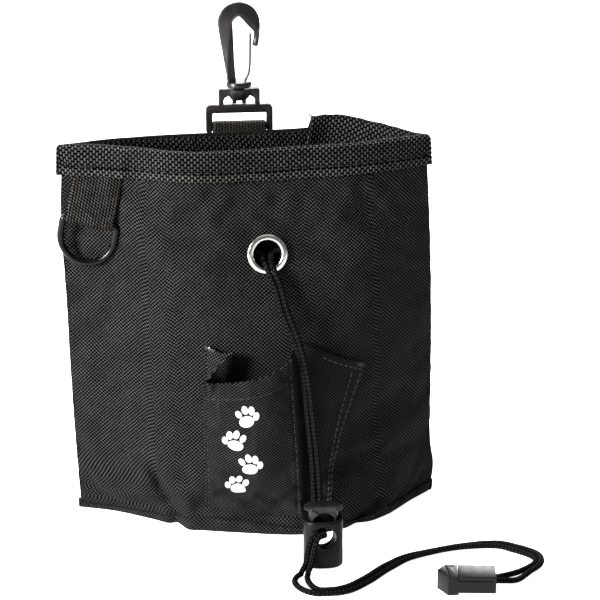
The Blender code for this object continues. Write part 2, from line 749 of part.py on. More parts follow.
def make_hook_body():
    """The J-shaped hook with its collar and the split stud that turns in the housing."""
    place = hook_place()
    arc_x, arc_z, arc_r = 0.0002, COLLAR_TOP + CROWN_RISE, CROWN_R
    outline = [(-0.0015, COLLAR_TOP - 0.001), (-0.0054, COLLAR_TOP - 0.001),
               (-0.0072, COLLAR_TOP + 0.0137)]
    for k in range(11):
        angle = math.radians(180 - 18.5 * k)
        outline.append((arc_x + arc_r * math.cos(angle), arc_z + arc_r * math.sin(angle)))
    inside = [(0.0084, 0.0171), (0.0074, 0.0170), (0.0065, 0.0180), (0.0073, 0.0198),
              (0.0068, 0.0229), (0.0048, 0.0258), (0.0016, 0.0292), (-0.0012, 0.0292),
              (-0.0028, 0.0270)]
    outline += [(x, COLLAR_TOP + rise) for x, rise in inside]
    depth = HOOK_DEPTH / 2
    hook = add_object("hook_body", extrude_outline(outline, -depth, depth, place), plastic(),
                      origin=(HOOK_X, HOOK_Y, HOUSING_TOP))
    bevel(hook, 0.0008, 1)
    collar = cylinder("hook_collar", COLLAR_R, (HOOK_X, HOOK_Y, HOUSING_TOP + GAP),
                      (HOOK_X, HOOK_Y, COLLAR_TOP))
    boolean(hook, collar, "UNION")
    neck_low = WINDOW_TOP - 0.0008
    neck = cylinder("hook_neck", NECK_R, (HOOK_X, HOOK_Y, neck_low),
                    (HOOK_X, HOOK_Y, HOUSING_TOP + 0.001), 16)
    boolean(hook, neck, "UNION")
    for side in (-1, 1):
        barb = [(side * 0.0034, neck_low + 0.0004), (side * 0.0034, neck_low),
                (side * 0.0020, WINDOW_Z + 0.0006), (side * 0.0010, WINDOW_Z + 0.0006),
                (side * 0.0008, neck_low + 0.0004)]
        leg_bm = extrude_outline(barb, -0.0013, 0.0013, place)
        leg = add_object(f"hook_leg_{side + 1}", leg_bm, plastic())
        boolean(hook, leg, "UNION")


def make_hook_gate():
    """The thin spring tongue that closes the hook."""
    place = hook_place()
    line = [(0.0030, 0.0005), (0.0043, 0.0024), (0.0051, 0.0052), (0.0054, 0.0102), (0.0055, 0.0214)]
    half = GATE_WIDTH / 2
    rows = [[place @ Vector((x, y, COLLAR_TOP + rise)) for y in (-half, half)] for x, rise in line]
    foot = rows[0][0] + Vector((0, half, 0))
    add_object("hook_gate", slab(rows, GATE_T), plastic(), origin=foot)


def make_hook_strap():
    """The webbing strap sewn to the back, looped over the frame's lower bar."""
    inner_y = HOOK_Y - FRAME_DEPTH / 2 - STRAP_CLEAR - WEB_T / 2
    outer_y = HOOK_Y + FRAME_DEPTH / 2 + STRAP_CLEAR + WEB_T / 2
    top_z = SLOT_Z + STRAP_CLEAR + WEB_T / 2
    low = STRAP_LOW
    on_wall = GAP + WEB_T / 2
    deepest = HOOK_X + STRAP_WIDTH / 2
    path = [(back_y(deepest, z) + on_wall, z) for z in (low, 0.142, 0.1560)]
    path += [(inner_y, 0.160), (inner_y, SLOT_Z), (inner_y + 0.0006, top_z + 0.0003),
             (outer_y - 0.0006, top_z + 0.0003), (outer_y, SLOT_Z), (outer_y - 0.0004, 0.166)]
    second = on_wall + WEB_T + 2 * GAP
    path += [(back_y(deepest, z) + second, z) for z in (0.1550, 0.142, low)]
    place = Matrix.Translation(Vector((HOOK_X, 0, 0)))
    add_object("hook_strap", strip(path, WEB_T, STRAP_WIDTH, place), webbing())


# ---------------------------------------------------------------- cord lock
def lock_place():
    return Matrix.Translation(Vector((LOCK_X, LOCK_Y, 0)))


def make_cord_lock():
    """A barrel with a cross hole, a sprung plunger with its own cross hole, and the spring."""
    place = lock_place()
    width, depth, height = LOCK_WIDTH, LOCK_DEPTH, LOCK_HEIGHT
    inside_w, inside_d = width - 2 * LOCK_WALL, depth - 2 * LOCK_WALL
    rings = [oval(width - 0.0020, depth - 0.0020, 0, place),
             oval(width - 0.0004, depth - 0.0004, 0.0007, place),
             oval(width, depth, 0.0020, place), oval(width, depth, height - 0.0008, place),
             oval(width - 0.0008, depth - 0.0008, height, place),
             oval(inside_w, inside_d, height, place), oval(inside_w, inside_d, LOCK_FLOOR, place)]
    barrel = add_object("cord_lock_barrel", skin(rings), plastic(), origin=(LOCK_X, LOCK_Y, 0))
    reach = LOCK_DEPTH
    hole = cylinder("barrel_cross_hole", LOCK_HOLE_R, (LOCK_X, LOCK_Y - reach, LOCK_HOLE_Z),
                    (LOCK_X, LOCK_Y + reach, LOCK_HOLE_Z))
    boolean(barrel, hole, "DIFFERENCE")

    body_w, body_d = inside_w - 2 * GAP, inside_d - 2 * GAP
    under_cap = height + PLUNGER_TRAVEL + 0.0002
    low = PLUNGER_LOW
    rings = [oval(body_w, body_d, low, place), oval(body_w, body_d, under_cap, place),
             oval(width - 0.0006, depth - 0.0010, under_cap + 0.0002, place),
             oval(width - 0.0002, depth - 0.0006, under_cap + 0.0010, place),
             oval(width - 0.0030, depth - 0.0030, under_cap + 0.0018, place)]
    plunger = add_object("cord_lock_plunger", skin(rings), plastic(), origin=(LOCK_X, LOCK_Y, low))
    hole_z = LOCK_HOLE_Z + PLUNGER_TRAVEL + 0.0008
    hole = cylinder("plunger_cross_hole", LOCK_HOLE_R - 0.0003, (LOCK_X, LOCK_Y - reach, hole_z),
                    (LOCK_X, LOCK_Y + reach, hole_z))
    boolean(plunger, hole, "DIFFERENCE")

    spring_low = LOCK_FLOOR + 2 * SPRING_WIRE_R
    spring_high = low - GAP - SPRING_WIRE_R
    steps = 12 * SPRING_TURNS
    path = []
    for k in range(steps + 1):
        angle = 2 * math.pi * SPRING_TURNS * k / steps
        path.append(place @ Vector((SPRING_R * math.cos(angle), SPRING_R * math.sin(angle),
                                    mix(spring_low, spring_high, k / steps))))
    bm = sweep(path, round_section(SPRING_WIRE_R, 5), (0, 0, 1))
    add_object("cord_lock_spring", bm, steel(), origin=(LOCK_X, LOCK_Y, spring_low))


# ---------------------------------------------------------------- cord end
def end_place():
    return Matrix.Translation(END_CENTRE) @ Matrix.Rotation(END_YAW, 4, "Z")


def block(name, place, across, along, up):
    """A box between pairs of local x, y and z, turned by a matrix."""
    corners = [(across[0], along[0]), (across[1], along[0]), (across[1], along[1]),
               (across[0], along[1])]
    rings = [[place @ Vector((x, y, z)) for x, y in corners] for z in up]
    return add_object(name, skin(rings), plastic())


def make_cord_end():
    """The clip that holds the cord's two ends: a base with a trough and a hinged lid."""
    place = end_place()
    half, depth = END_LENGTH / 2, END_DEPTH / 2
    notch = -half + LID_START
    lid_low = END_HEIGHT - LID_T
    plan = [(-half, -0.0015), (-half + NOSE, -depth), (half, -depth), (half, depth),
            (-half + NOSE * 0.6, depth), (-half, 0.0030)]
    rings = [[place @ Vector((x, y, z)) for x, y in plan] for z in (0, END_HEIGHT)]
    base = add_object("cord_end_base", skin(rings), plastic(), origin=place.translation)

    over = CUT_OVER
    seat = block("cord_end_seat_cut", place, (notch, half + over), (-depth - over, depth + over),
                 (lid_low - GAP, END_HEIGHT + over))
    boolean(base, seat, "DIFFERENCE")
    inner = depth - CLIP_WALL
    trough = block("cord_end_trough_cut", place, (notch + 0.0020, half - 0.0030), (-inner, inner),
                   (CLIP_FLOOR, END_HEIGHT + over))
    boolean(base, trough, "DIFFERENCE")
    slot_half = STRAND_OFFSET + CORD_R + GAP
    slot = block("cord_end_mouth_cut", place, (half - 0.0040, half + over), (-slot_half, slot_half),
                 (CLIP_FLOOR + GAP, END_HEIGHT + over))
    boolean(base, slot, "DIFFERENCE")

    lid = block("cord_end_lid", place, (notch + GAP, half), (-depth, depth), (lid_low, END_HEIGHT))
    hinge = place @ Vector((notch + GAP, 0, END_HEIGHT))
    lid.data.transform(Matrix.Translation(-hinge))
    lid.location = hinge
    bevel(lid, 0.0003, 1)


def main():
    clear_scene()
    make_wall()
    make_bindings()
    make_channel()
    make_drawcord_loop()
    make_eyelet()
    make_outer_cord()
    make_pocket()
    make_tab_and_ring()
    make_hook_base()
    make_hook_body()
    make_hook_gate()
    make_hook_strap()
    make_cord_lock()
    make_cord_end()


main()
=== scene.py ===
"""Looks of the treat pouch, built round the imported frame.

Units are metres. +Z is up and the pouch faces -Y. The wall is one lofted surface; every sewn piece
takes its place from that surface, after cloth simulation has let it sag and buckle.
"""

import json
import math

import bmesh
import bpy
import numpy as np
from mathutils import Matrix, Vector


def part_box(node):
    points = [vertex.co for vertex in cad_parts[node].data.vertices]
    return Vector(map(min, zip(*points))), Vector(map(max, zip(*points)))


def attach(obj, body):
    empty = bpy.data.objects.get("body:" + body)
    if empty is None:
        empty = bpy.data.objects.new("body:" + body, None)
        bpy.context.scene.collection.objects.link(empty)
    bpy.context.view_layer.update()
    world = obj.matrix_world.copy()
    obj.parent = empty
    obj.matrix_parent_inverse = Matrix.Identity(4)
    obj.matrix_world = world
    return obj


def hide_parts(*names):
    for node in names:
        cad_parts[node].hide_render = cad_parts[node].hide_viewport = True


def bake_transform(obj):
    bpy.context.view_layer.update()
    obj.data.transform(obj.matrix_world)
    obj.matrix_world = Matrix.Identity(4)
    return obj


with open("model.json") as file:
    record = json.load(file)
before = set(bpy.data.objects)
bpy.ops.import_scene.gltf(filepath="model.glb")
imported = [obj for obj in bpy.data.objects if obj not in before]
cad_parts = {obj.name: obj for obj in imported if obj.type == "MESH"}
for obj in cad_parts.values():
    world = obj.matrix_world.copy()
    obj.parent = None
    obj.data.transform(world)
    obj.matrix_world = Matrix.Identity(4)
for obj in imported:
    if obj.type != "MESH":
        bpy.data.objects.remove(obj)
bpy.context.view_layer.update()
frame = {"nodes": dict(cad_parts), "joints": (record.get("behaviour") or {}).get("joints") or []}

# ---------------------------------------------------------------- driving dimensions
RIM_HEIGHT = 0.172
HALF_WIDTH_BASE = 0.0810
HALF_WIDTH_RIM = 0.0807
SIDE_SWELL = 0.0012
LEFT_SWELL = 0.0014
LEFT_SHOULDER = 0.0013
RIGHT_FOOT_SWELL = 0.0022
RIM_LEAN = -0.0034
SHELL_T = 0.0011
LINING_T = 0.0007
TAPE_T = 0.0013
WEB_T = 0.0011
GAP = 0.0003
BINDING_DROP = 0.0135
STITCH_DROP = 0.0092
BASE_STRIP = 0.0042
TIP_GAP = 0.0004

# Depth of the wall on each side of the middle plane, by place across the width (-1 to 1).
FRONT_RIM = ((-1, 0), (-0.8, 0.0026), (-0.6, 0.0085), (-0.42, 0.0160), (-0.27, 0.0188),
             (0, 0.0166), (0.3, 0.0138), (0.55, 0.0116), (0.8, 0.0060), (1, 0))
FRONT_BASE = ((-1, 0), (-0.8, 0.0065), (-0.6, 0.0175), (-0.4, 0.0300), (-0.15, 0.0365),
              (0.2, 0.0418), (0.45, 0.0370), (0.7, 0.0245), (0.87, 0.0100), (1, 0))
BACK_RIM = ((-1, 0), (-0.8, 0.0060), (-0.55, 0.0120), (-0.3, 0.0140), (0, 0.0162),
            (0.3, 0.0190), (0.5, 0.0212), (0.75, 0.0140), (1, 0))
BACK_BASE = ((-1, 0), (-0.8, 0.0110), (-0.5, 0.0200), (0, 0.0240), (0.5, 0.0200),
             (0.8, 0.0110), (1, 0))
FRONT, BACK = (FRONT_BASE, FRONT_RIM), (BACK_BASE, BACK_RIM)

# How finely the wall and the simulated cloth are divided, and how far the cloth may move.
WALL_COLUMNS = 150
WALL_ROWS = 96
CLOTH_COLUMNS = 44
CLOTH_ROWS = 42
CLOTH_FRAMES = 16
CLOTH_CAP = 0.0026


# ---------------------------------------------------------------- numbers
def mix(a, b, w):
    return a + (b - a) * w


def smoothstep(w):
    w = np.clip(w, 0.0, 1.0)
    return w * w * (3 - 2 * w)


def bell(t, centre, width):
    """A hump of height 1 round the centre."""
    return np.exp(-((t - centre) / width) ** 2)


def unit(vectors):
    return vectors / np.maximum(np.linalg.norm(vectors, axis=-1, keepdims=True), 1e-12)


def spline(keys, t):
    """A smooth curve through (place, value) keys, for an array of places."""
    place, value = np.asarray(keys, float).T
    order = np.arange(len(place))
    ahead, behind = np.minimum(order + 1, order[-1]), np.maximum(order - 1, 0)
    slopes = (value[ahead] - value[behind]) / (place[ahead] - place[behind])
    i = np.clip(np.searchsorted(place, t, side="right") - 1, 0, len(place) - 2)
    span = place[i + 1] - place[i]
    s = (t - place[i]) / span
    lean = slopes[i] * (s ** 3 - 2 * s ** 2 + s) + slopes[i + 1] * (s ** 3 - s ** 2)
    return mix(value[i], value[i + 1], 3 * s ** 2 - 2 * s ** 3) + lean * span


def catmull(s):
    """The four weights of a Catmull-Rom curve at s between its middle points."""
    return (-s + 2 * s ** 2 - s ** 3) / 2, 1 - 2.5 * s ** 2 + 1.5 * s ** 3, \
        (s + 4 * s ** 2 - 3 * s ** 3) / 2, (s ** 3 - s ** 2) / 2


def cubic(values, place):
    """Sample rows of values at fractional places with a Catmull-Rom curve."""
    i = np.floor(place).astype(int)
    weights = catmull((place - i)[:, None])
    return sum(w * values[np.clip(i + k, 0, len(values) - 1)] for k, w in zip((-1, 0, 1, 2), weights))


def lengths(path):
    """The distance along a path to each of its points."""
    return np.concatenate([[0], np.cumsum(np.linalg.norm(np.diff(path, axis=0), axis=1))])


def follow(path, places):
    """Points of a path at distances along it."""
    along = lengths(path)
    return np.stack([np.interp(places, along, path[:, k]) for k in range(path.shape[1])], -1)


def resample(path, spacing=None, count=None):
    """A path with evenly spaced points: so far apart, or so many."""
    whole = lengths(path)[-1]
    return follow(path, np.linspace(0, whole, count or max(2, int(round(whole / spacing)) + 1)))


def smooth_path(points, spacing):
    """A Catmull-Rom curve through the points, resampled at an even spacing."""
    p = np.asarray(points, float)
    ends = np.vstack([2 * p[0] - p[1], p, 2 * p[-1] - p[-2]])
    weights = catmull(np.linspace(0, 1, 24, endpoint=False)[:, None])
    fine = [sum(w * q for w, q in zip(weights, four)) for four in zip(ends, ends[1:], ends[2:], ends[3:])]
    return resample(np.vstack(fine + [ends[-2:-1]]), spacing)


def wobble(t, seed, waves=5, lowest=1.0):
    """A small smooth irregularity along t, between about -1 and 1, the same for the same seed."""
    rng = np.random.default_rng(seed)
    total = np.zeros_like(np.asarray(t, float))
    for k in range(waves):
        total += np.sin(2 * np.pi * (lowest * (k + 1) * t + rng.random())) * (0.4 + rng.random()) / (k + 1)
    return total / 1.6


def arc(centre, radius, start, end, steps):
    """Points of an arc in two dimensions, in degrees."""
    angle = np.radians(np.linspace(start, end, steps))
    return [(centre[0] + radius * math.cos(a), centre[1] + radius * math.sin(a)) for a in angle]


def placed(points, place):
    """Local points moved by a matrix."""
    matrix = np.array(place, float)
    return np.asarray(points, float) @ matrix[:3, :3].T + matrix[:3, 3]


def joint(name):
    return next(j for j in frame["joints"] if j["name"] == name)


# ---------------------------------------------------------------- the wall's surface
def wall_centre(v):
    return RIM_LEAN * v ** 2.2


def wall_half(v, direction):
    """Half the wall's width at the share v of its height, on the left (-1) or the right (1)."""
    swell = np.sin(np.pi * np.clip(v, 0, 1))
    half = mix(HALF_WIDTH_BASE, HALF_WIDTH_RIM, v) + SIDE_SWELL * swell
    if direction < 0:
        return half + LEFT_SWELL * swell ** 0.7 + LEFT_SHOULDER * bell(v, 0.80, 0.14)
    return half + RIGHT_FOOT_SWELL * bell(v, 0.07, 0.07)


def side_depth(side, x, v, inset):
    """How far the wall stands from the middle plane at x, moved inward by inset."""
    offset = x - wall_centre(v)
    half = np.where(offset < 0, wall_half(v, -1), wall_half(v, 1))
    t = np.clip(offset / half, -1, 1)

    def depth(place):
        return mix(spline(side[0], place), spline(side[1], place), v)

    low, high = np.maximum(-1.0, t - 0.02), np.minimum(1.0, t + 0.02)
    slope = (depth(high) - depth(low)) / ((high - low) * half)
    return depth(t) - inset * np.sqrt(1 + slope * slope)


def wall_tip(v, inset, direction):
    """Where the front and the back come within the tip gap of each other."""
    near = wall_centre(v)
    far = near + direction * (wall_half(v, direction) + max(0.0, -inset))
    reach = np.linspace(near, far, 400)
    room = side_depth(FRONT, reach, v, inset) + side_depth(BACK, reach, v, inset)
    closed = np.nonzero(room < TIP_GAP)[0]
    if not len(closed) or closed[0] == 0:
        return far
    k = closed[0]
    return mix(reach[k - 1], reach[k], (room[k - 1] - TIP_GAP) / (room[k - 1] - room[k]))


def plain_ring(z, inset, columns):
    """The ring at height z before any sag: the front from left to right, then the back."""
    v = z / RIM_HEIGHT
    left, right = wall_tip(v, inset, -1), wall_tip(v, inset, 1)
    x = (left + right) / 2 - np.cos(np.pi * np.linspace(0, 1, columns + 1)) * (right - left) / 2
    front, back = [np.stack([x, way * side_depth(side, x, v, inset), np.full_like(x, z)], -1)
                   for side, way in ((FRONT, -1), (BACK, 1))]
    return np.vstack([front, back[::-1]])


# How far the cloth has moved from the plain wall, on a coarse grid of rows and ring places.
SAG = np.zeros((CLOTH_ROWS + 1, 2 * (CLOTH_COLUMNS + 1), 3))


def sag_at(z, place):
    """The cloth's movement at heights z for places along the ring, counted in coarse columns."""
    z, place = np.broadcast_arrays(np.asarray(z, float), np.asarray(place, float))
    row = np.clip(z / RIM_HEIGHT, 0, 1) * CLOTH_ROWS
    i = np.minimum(np.floor(row).astype(int), CLOTH_ROWS - 1)
    j = np.floor(place).astype(int)
    total = np.zeros((len(row), 3))
    for a, down in zip((-1, 0, 1, 2), catmull((row - i)[:, None])):
        for b, along in zip((-1, 0, 1, 2), catmull((place - j)[:, None])):
            total += down * along * SAG[np.clip(i + a, 0, CLOTH_ROWS), (j + b) % SAG.shape[1]]
    return total


# Folds pressed into the front: (x, z) middle line, depth inwards, half width, ridge beside it.
FOLDS = (
    (((-0.0500, 0.0330), (-0.0472, 0.0240), (-0.0443, 0.0166), (-0.0405, 0.0104), (-0.0375, 0.0040),
      (-0.0380, -0.0010)), 0.0042, 0.0026, 0.0020),
    (((0.0570, 0.0130), (0.0536, 0.0079), (0.0495, 0.0055), (0.0440, 0.0020), (0.0410, -0.0010)),
     0.0026, 0.0026, 0.0010),
    (((-0.0250, 0.1120), (-0.0120, 0.1190), (-0.0020, 0.1235)), 0.0007, 0.0040, 0.0),
    (((0.0110, 0.1300), (0.0300, 0.1370), (0.0480, 0.1400)), 0.0007, 0.0050, 0.0),
    (((0.0080, 0.1180), (0.0190, 0.0980), (0.0240, 0.0880)), 0.0009, 0.0045, 0.0),
)


def fold_depth(x, z):
    """How far inwards the pressed folds push the front at (x, z)."""
    total = np.zeros_like(x)
    for line, depth, half, ridge in FOLDS:
        line = np.asarray(line)
        nearest, side, along = np.full_like(x, 1.0), np.zeros_like(x), np.zeros_like(x)
        for k, (a, b) in enumerate(zip(line, line[1:])):
            step = b - a
            t = np.clip(((x - a[0]) * step[0] + (z - a[1]) * step[1]) / (step @ step), 0, 1)
            dx, dz = x - (a[0] + t * step[0]), z - (a[1] + t * step[1])
            distance = np.hypot(dx, dz)
            closer = distance < nearest
            nearest = np.where(closer, distance, nearest)
            side = np.where(closer, dx, side)
            along = np.where(closer, (k + t) / (len(line) - 1), along)
        beside = np.hypot(np.abs(side - 2.2 * half), nearest * 0.3)
        push = depth * bell(nearest, 0, half) - ridge * bell(beside, 0, 1.5 * half)
        total += push * smoothstep(along / 0.35)
    return total


def ring(z, inset, columns):
    """The ring at height z with the cloth's movement and the pressed folds in it."""
    a = np.linspace(0, 1, columns + 1) * CLOTH_COLUMNS
    places = np.concatenate([a, 2 * CLOTH_COLUMNS + 1 - a[::-1]])
    points = plain_ring(z, inset, columns) + sag_at(z, places)
    half = columns + 1
    points[:half, 1] += fold_depth(points[:half, 0], np.full(half, z))
    return points


def ring_sides(points):
    """For each point of a ring, its share of the way round, and -1 in front or 1 behind."""
    along = lengths(points)
    return along / along[-1], np.where(np.arange(len(points)) < len(points) // 2, -1.0, 1.0)


def front_at(x, z, out=0.0, side=FRONT):
    """Points on the finished front (or the back) at arrays of x and z, moved out of the wall."""
    x, z = np.broadcast_arrays(np.asarray(x, float), np.asarray(z, float))
    across, height = x.ravel(), z.ravel()
    v = height / RIM_HEIGHT
    left, right = wall_centre(v) - wall_half(v, -1), wall_centre(v) + wall_half(v, 1)
    share = np.clip((2 * across - left - right) / (right - left), -1, 1)
    place = np.arccos(-share) / np.pi * CLOTH_COLUMNS
    depth = side_depth(side, across, v, 0.0)
    if side is FRONT:
        y = -depth + sag_at(height, place)[:, 1] + fold_depth(across, height)
        return np.stack([x, y.reshape(x.shape) - out, z], -1)
    y = depth + sag_at(height, 2 * CLOTH_COLUMNS + 1 - place)[:, 1]
    return np.stack([x, y.reshape(x.shape) + out, z], -1)


# ---------------------------------------------------------------- meshes
def new_mesh(name, points, faces):
    mesh = bpy.data.meshes.new(name)
    mesh.from_pydata(np.asarray(points, float).tolist(), [], faces)
    return mesh


def new_object(name, data):
    obj = bpy.data.objects.new(name, data)
    bpy.context.scene.collection.objects.link(obj)
    return obj


def finished(mesh, mat, smooth_angle):
    """The mesh as an object, with outward normals, smooth shading and its material."""
    bm = bmesh.new()
    bm.from_mesh(mesh)
    bmesh.ops.recalc_face_normals(bm, faces=bm.faces)
    bm.to_mesh(mesh)
    bm.free()
    mesh.shade_smooth()
    mesh.set_sharp_from_angle(angle=math.radians(smooth_angle))
    mesh.materials.append(mat)
    return new_object(mesh.name, mesh)


def put(obj, body, slot, *nodes):
    """Fix a piece to its body and hide the CAD nodes that it replaces. The material slot is not used."""
    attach(obj, body)
    if nodes:
        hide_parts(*nodes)


def bend(obj, bodies, start, end, slot, *nodes):
    """Bake the piece's placement into its mesh and hide the CAD nodes that it replaces. The two bodies, the
    start point and the end point are not used.
    """
    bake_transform(obj)
    if nodes:
        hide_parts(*nodes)


def corners(grid):
    """The four corners of each cell of a grid, in order round the cell."""
    return np.stack([grid[:-1, :-1], grid[:-1, 1:], grid[1:, 1:], grid[1:, :-1]], 2)


def cell_faces(rows, cols, wrap_rows=False, wrap_cols=False):
    index = np.arange(rows * cols).reshape(rows, cols)
    return corners(np.pad(index, ((0, int(wrap_rows)), (0, int(wrap_cols))), mode="wrap")).reshape(-1, 4)


def set_uv(mesh, uv):
    mesh.uv_layers.new(name="cloth").data.foreach_set("uv", np.asarray(uv, np.float32).ravel())


def grid_object(name, points, mat, uv=None, wrap_rows=False, wrap_cols=False, caps=False, smooth_angle=50):
    """A mesh over a grid of points. uv has one more row or column where the grid wraps."""
    points = np.asarray(points, float)
    rows, cols = points.shape[:2]
    quads = cell_faces(rows, cols, wrap_rows, wrap_cols)
    faces = quads.tolist()
    if caps:
        faces += [list(range(cols))[::-1], list(range((rows - 1) * cols, rows * cols))]
    mesh = new_mesh(name, points.reshape(-1, 3), faces)
    flat = np.zeros((len(mesh.loops), 2))
    if uv is not None:
        flat[:quads.size] = corners(uv).reshape(-1, 2)
        flat[quads.size:] = flat[0]
    set_uv(mesh, flat)
    return finished(mesh, mat, smooth_angle)


def grid_normals(points):
    return unit(np.cross(np.gradient(points, axis=1), np.gradient(points, axis=0)))


def grid_uv(points):
    """Cloth coordinates in metres: along the rows from the middle column, and down the columns."""
    u = np.pad(np.cumsum(np.linalg.norm(np.diff(points, axis=1), axis=2), axis=1), ((0, 0), (1, 0)))
    v = np.pad(np.cumsum(np.linalg.norm(np.diff(points, axis=0), axis=2), axis=0), ((1, 0), (0, 0)))
    return np.stack([u - u[:, [u.shape[1] // 2]], v], -1)


def cloth_sheet(name, points, thickness, mat, rim=0.35):
    """A closed piece of cloth with softly rounded edges. Its outer face is the grid, on the side that
    the grid's normals point to."""
    points = np.asarray(points, float)
    rows, cols = points.shape[:2]
    uv = grid_uv(points)
    inner = points - grid_normals(points) * thickness
    border = [(0, c) for c in range(cols)] + [(r, cols - 1) for r in range(1, rows)]
    border += [(rows - 1, c) for c in range(cols - 2, -1, -1)] + [(r, 0) for r in range(rows - 2, 0, -1)]
    r, c = np.array(border).T
    edge = points[r, c]
    away = 2 * edge - points[np.clip(r, 1, rows - 2), c] - points[r, np.clip(c, 1, cols - 2)]
    middle = (edge + inner[r, c]) / 2 + unit(away) * thickness * rim
    first, here = 2 * rows * cols, np.arange(len(border))
    after = (here + 1) % len(border)
    r2, c2 = r[after], c[after]
    faces, face_uv = [], []
    for side, order in ((0, (0, 1, 2, 3)), (rows * cols, (3, 2, 1, 0))):
        index = np.arange(rows * cols).reshape(rows, cols) + side
        rim_faces = np.stack([index[r, c], index[r2, c2], first + after, first + here], -1)
        rim_uv = np.stack([uv[r, c], uv[r2, c2], uv[r2, c2], uv[r, c]], 1)
        faces += corners(index).reshape(-1, 4).tolist() + rim_faces[:, order].tolist()
        face_uv += [corners(uv).reshape(-1, 2), rim_uv[:, order].reshape(-1, 2)]
    mesh = new_mesh(name, np.vstack([points.reshape(-1, 3), inner.reshape(-1, 3), middle]), faces)
    set_uv(mesh, np.vstack(face_uv))
    return finished(mesh, mat, 60)


def rings_round(path, radius, one, two, around):
    """Rings of points round a path, in the plane of two directions at each of its points."""
    turn = np.linspace(0, 2 * np.pi, around, endpoint=False)[None, :, None]
    one, two = np.broadcast_to(one, path.shape)[:, None], np.broadcast_to(two, path.shape)[:, None]
    radius = np.broadcast_to(radius, (len(path),))[:, None, None]
    return path[:, None] + radius * (np.cos(turn) * one + np.sin(turn) * two)


def tube(name, path, radius, mat, around=16, up=(0, 0, 1), start=0.0):
    """A round cord along a path; uv is length along, counted from start, and turn round."""
    path = np.asarray(path, float)
    tangent = unit(np.gradient(path, axis=0))
    normal = np.zeros_like(path)
    reference = unit(np.cross(tangent[0], np.cross(np.asarray(up, float), tangent[0])))
    for k in range(len(path)):
        reference = unit(reference - tangent[k] * (reference @ tangent[k]))
        normal[k] = reference
    points = rings_round(path, radius, normal, np.cross(tangent, normal), around)
    turn = np.linspace(0, 1, around + 1)
    uv = np.stack(np.broadcast_arrays((start + lengths(path))[:, None], turn[None]), -1)
    return grid_object(name, points, mat, uv, wrap_cols=True, caps=True, smooth_angle=80)


def lathe(name, profile, place, mat, steps=96, closed=True):
    """A turned piece: (radius, height) points spun about the frame's Z."""
    angle = np.linspace(0, 2 * np.pi, steps, endpoint=False)
    profile = np.asarray(profile, float)
    local = np.stack([profile[:, :1] * np.cos(angle), profile[:, :1] * np.sin(angle),
                      np.repeat(profile[:, 1:], steps, 1)], -1)
    return grid_object(name, placed(local, place), mat, wrap_rows=closed, wrap_cols=True, caps=not closed,
                       smooth_angle=35)


def plate(name, outline, near, far, place, mat):
    """A flat form in the XZ plane, from near to far along Y."""
    points = placed([[(x, y, z) for x, z in outline] for y in (near, far)], place)
    return grid_object(name, points, mat, wrap_cols=True, caps=True)


def block(name, place, plan, low, high, mat):
    """An upright form: a plan in the XY plane, from low to high."""
    points = placed([[(x, y, z) for x, y in plan] for z in (low, high)], place)
    return grid_object(name, points, mat, wrap_cols=True, caps=True)


def box(place, x, y, z):
    """A plain cutter between (low, high) pairs in its frame."""
    plan = [(x[0], y[0]), (x[1], y[0]), (x[1], y[1]), (x[0], y[1])]
    return block("box", place, plan, *z, CLIP_PLASTIC)


def joined(name, objects):
    """One object from several, keeping their uv and materials."""
    base = objects[0]
    with bpy.context.temp_override(active_object=base, selected_editable_objects=objects,
                                   object=base, selected_objects=objects):
        bpy.ops.object.join()
    base.name = base.data.name = name
    return base


def apply_modifiers(obj):
    """Make the object's modifiers permanent."""
    graph = bpy.context.evaluated_depsgraph_get()
    mesh = bpy.data.meshes.new_from_object(obj.evaluated_get(graph), preserve_all_data_layers=True,
                                           depsgraph=graph)
    obj.modifiers.clear()
    obj.data = mesh


def cut(obj, other, operation="DIFFERENCE"):
    """Take the other's volume out of the object for good, or add it with UNION."""
    mod = obj.modifiers.new("cut", "BOOLEAN")
    mod.operation = operation
    mod.solver = "EXACT"
    mod.object = other
    apply_modifiers(obj)
    bpy.data.objects.remove(other, do_unlink=True)


def soften(obj, width):
    """Round the sharp edges that cutting left."""
    mod = obj.modifiers.new("soft_edges", "BEVEL")
    mod.width = width
    mod.segments = 2
    mod.limit_method = "ANGLE"
    mod.angle_limit = math.radians(50)
    apply_modifiers(obj)
    obj.data.shade_smooth()
    obj.data.set_sharp_from_angle(angle=math.radians(40))


# ---------------------------------------------------------------- materials
def grey(shade, tint=(1.0, 1.0, 1.0)):
    return tuple(shade * c for c in tint)


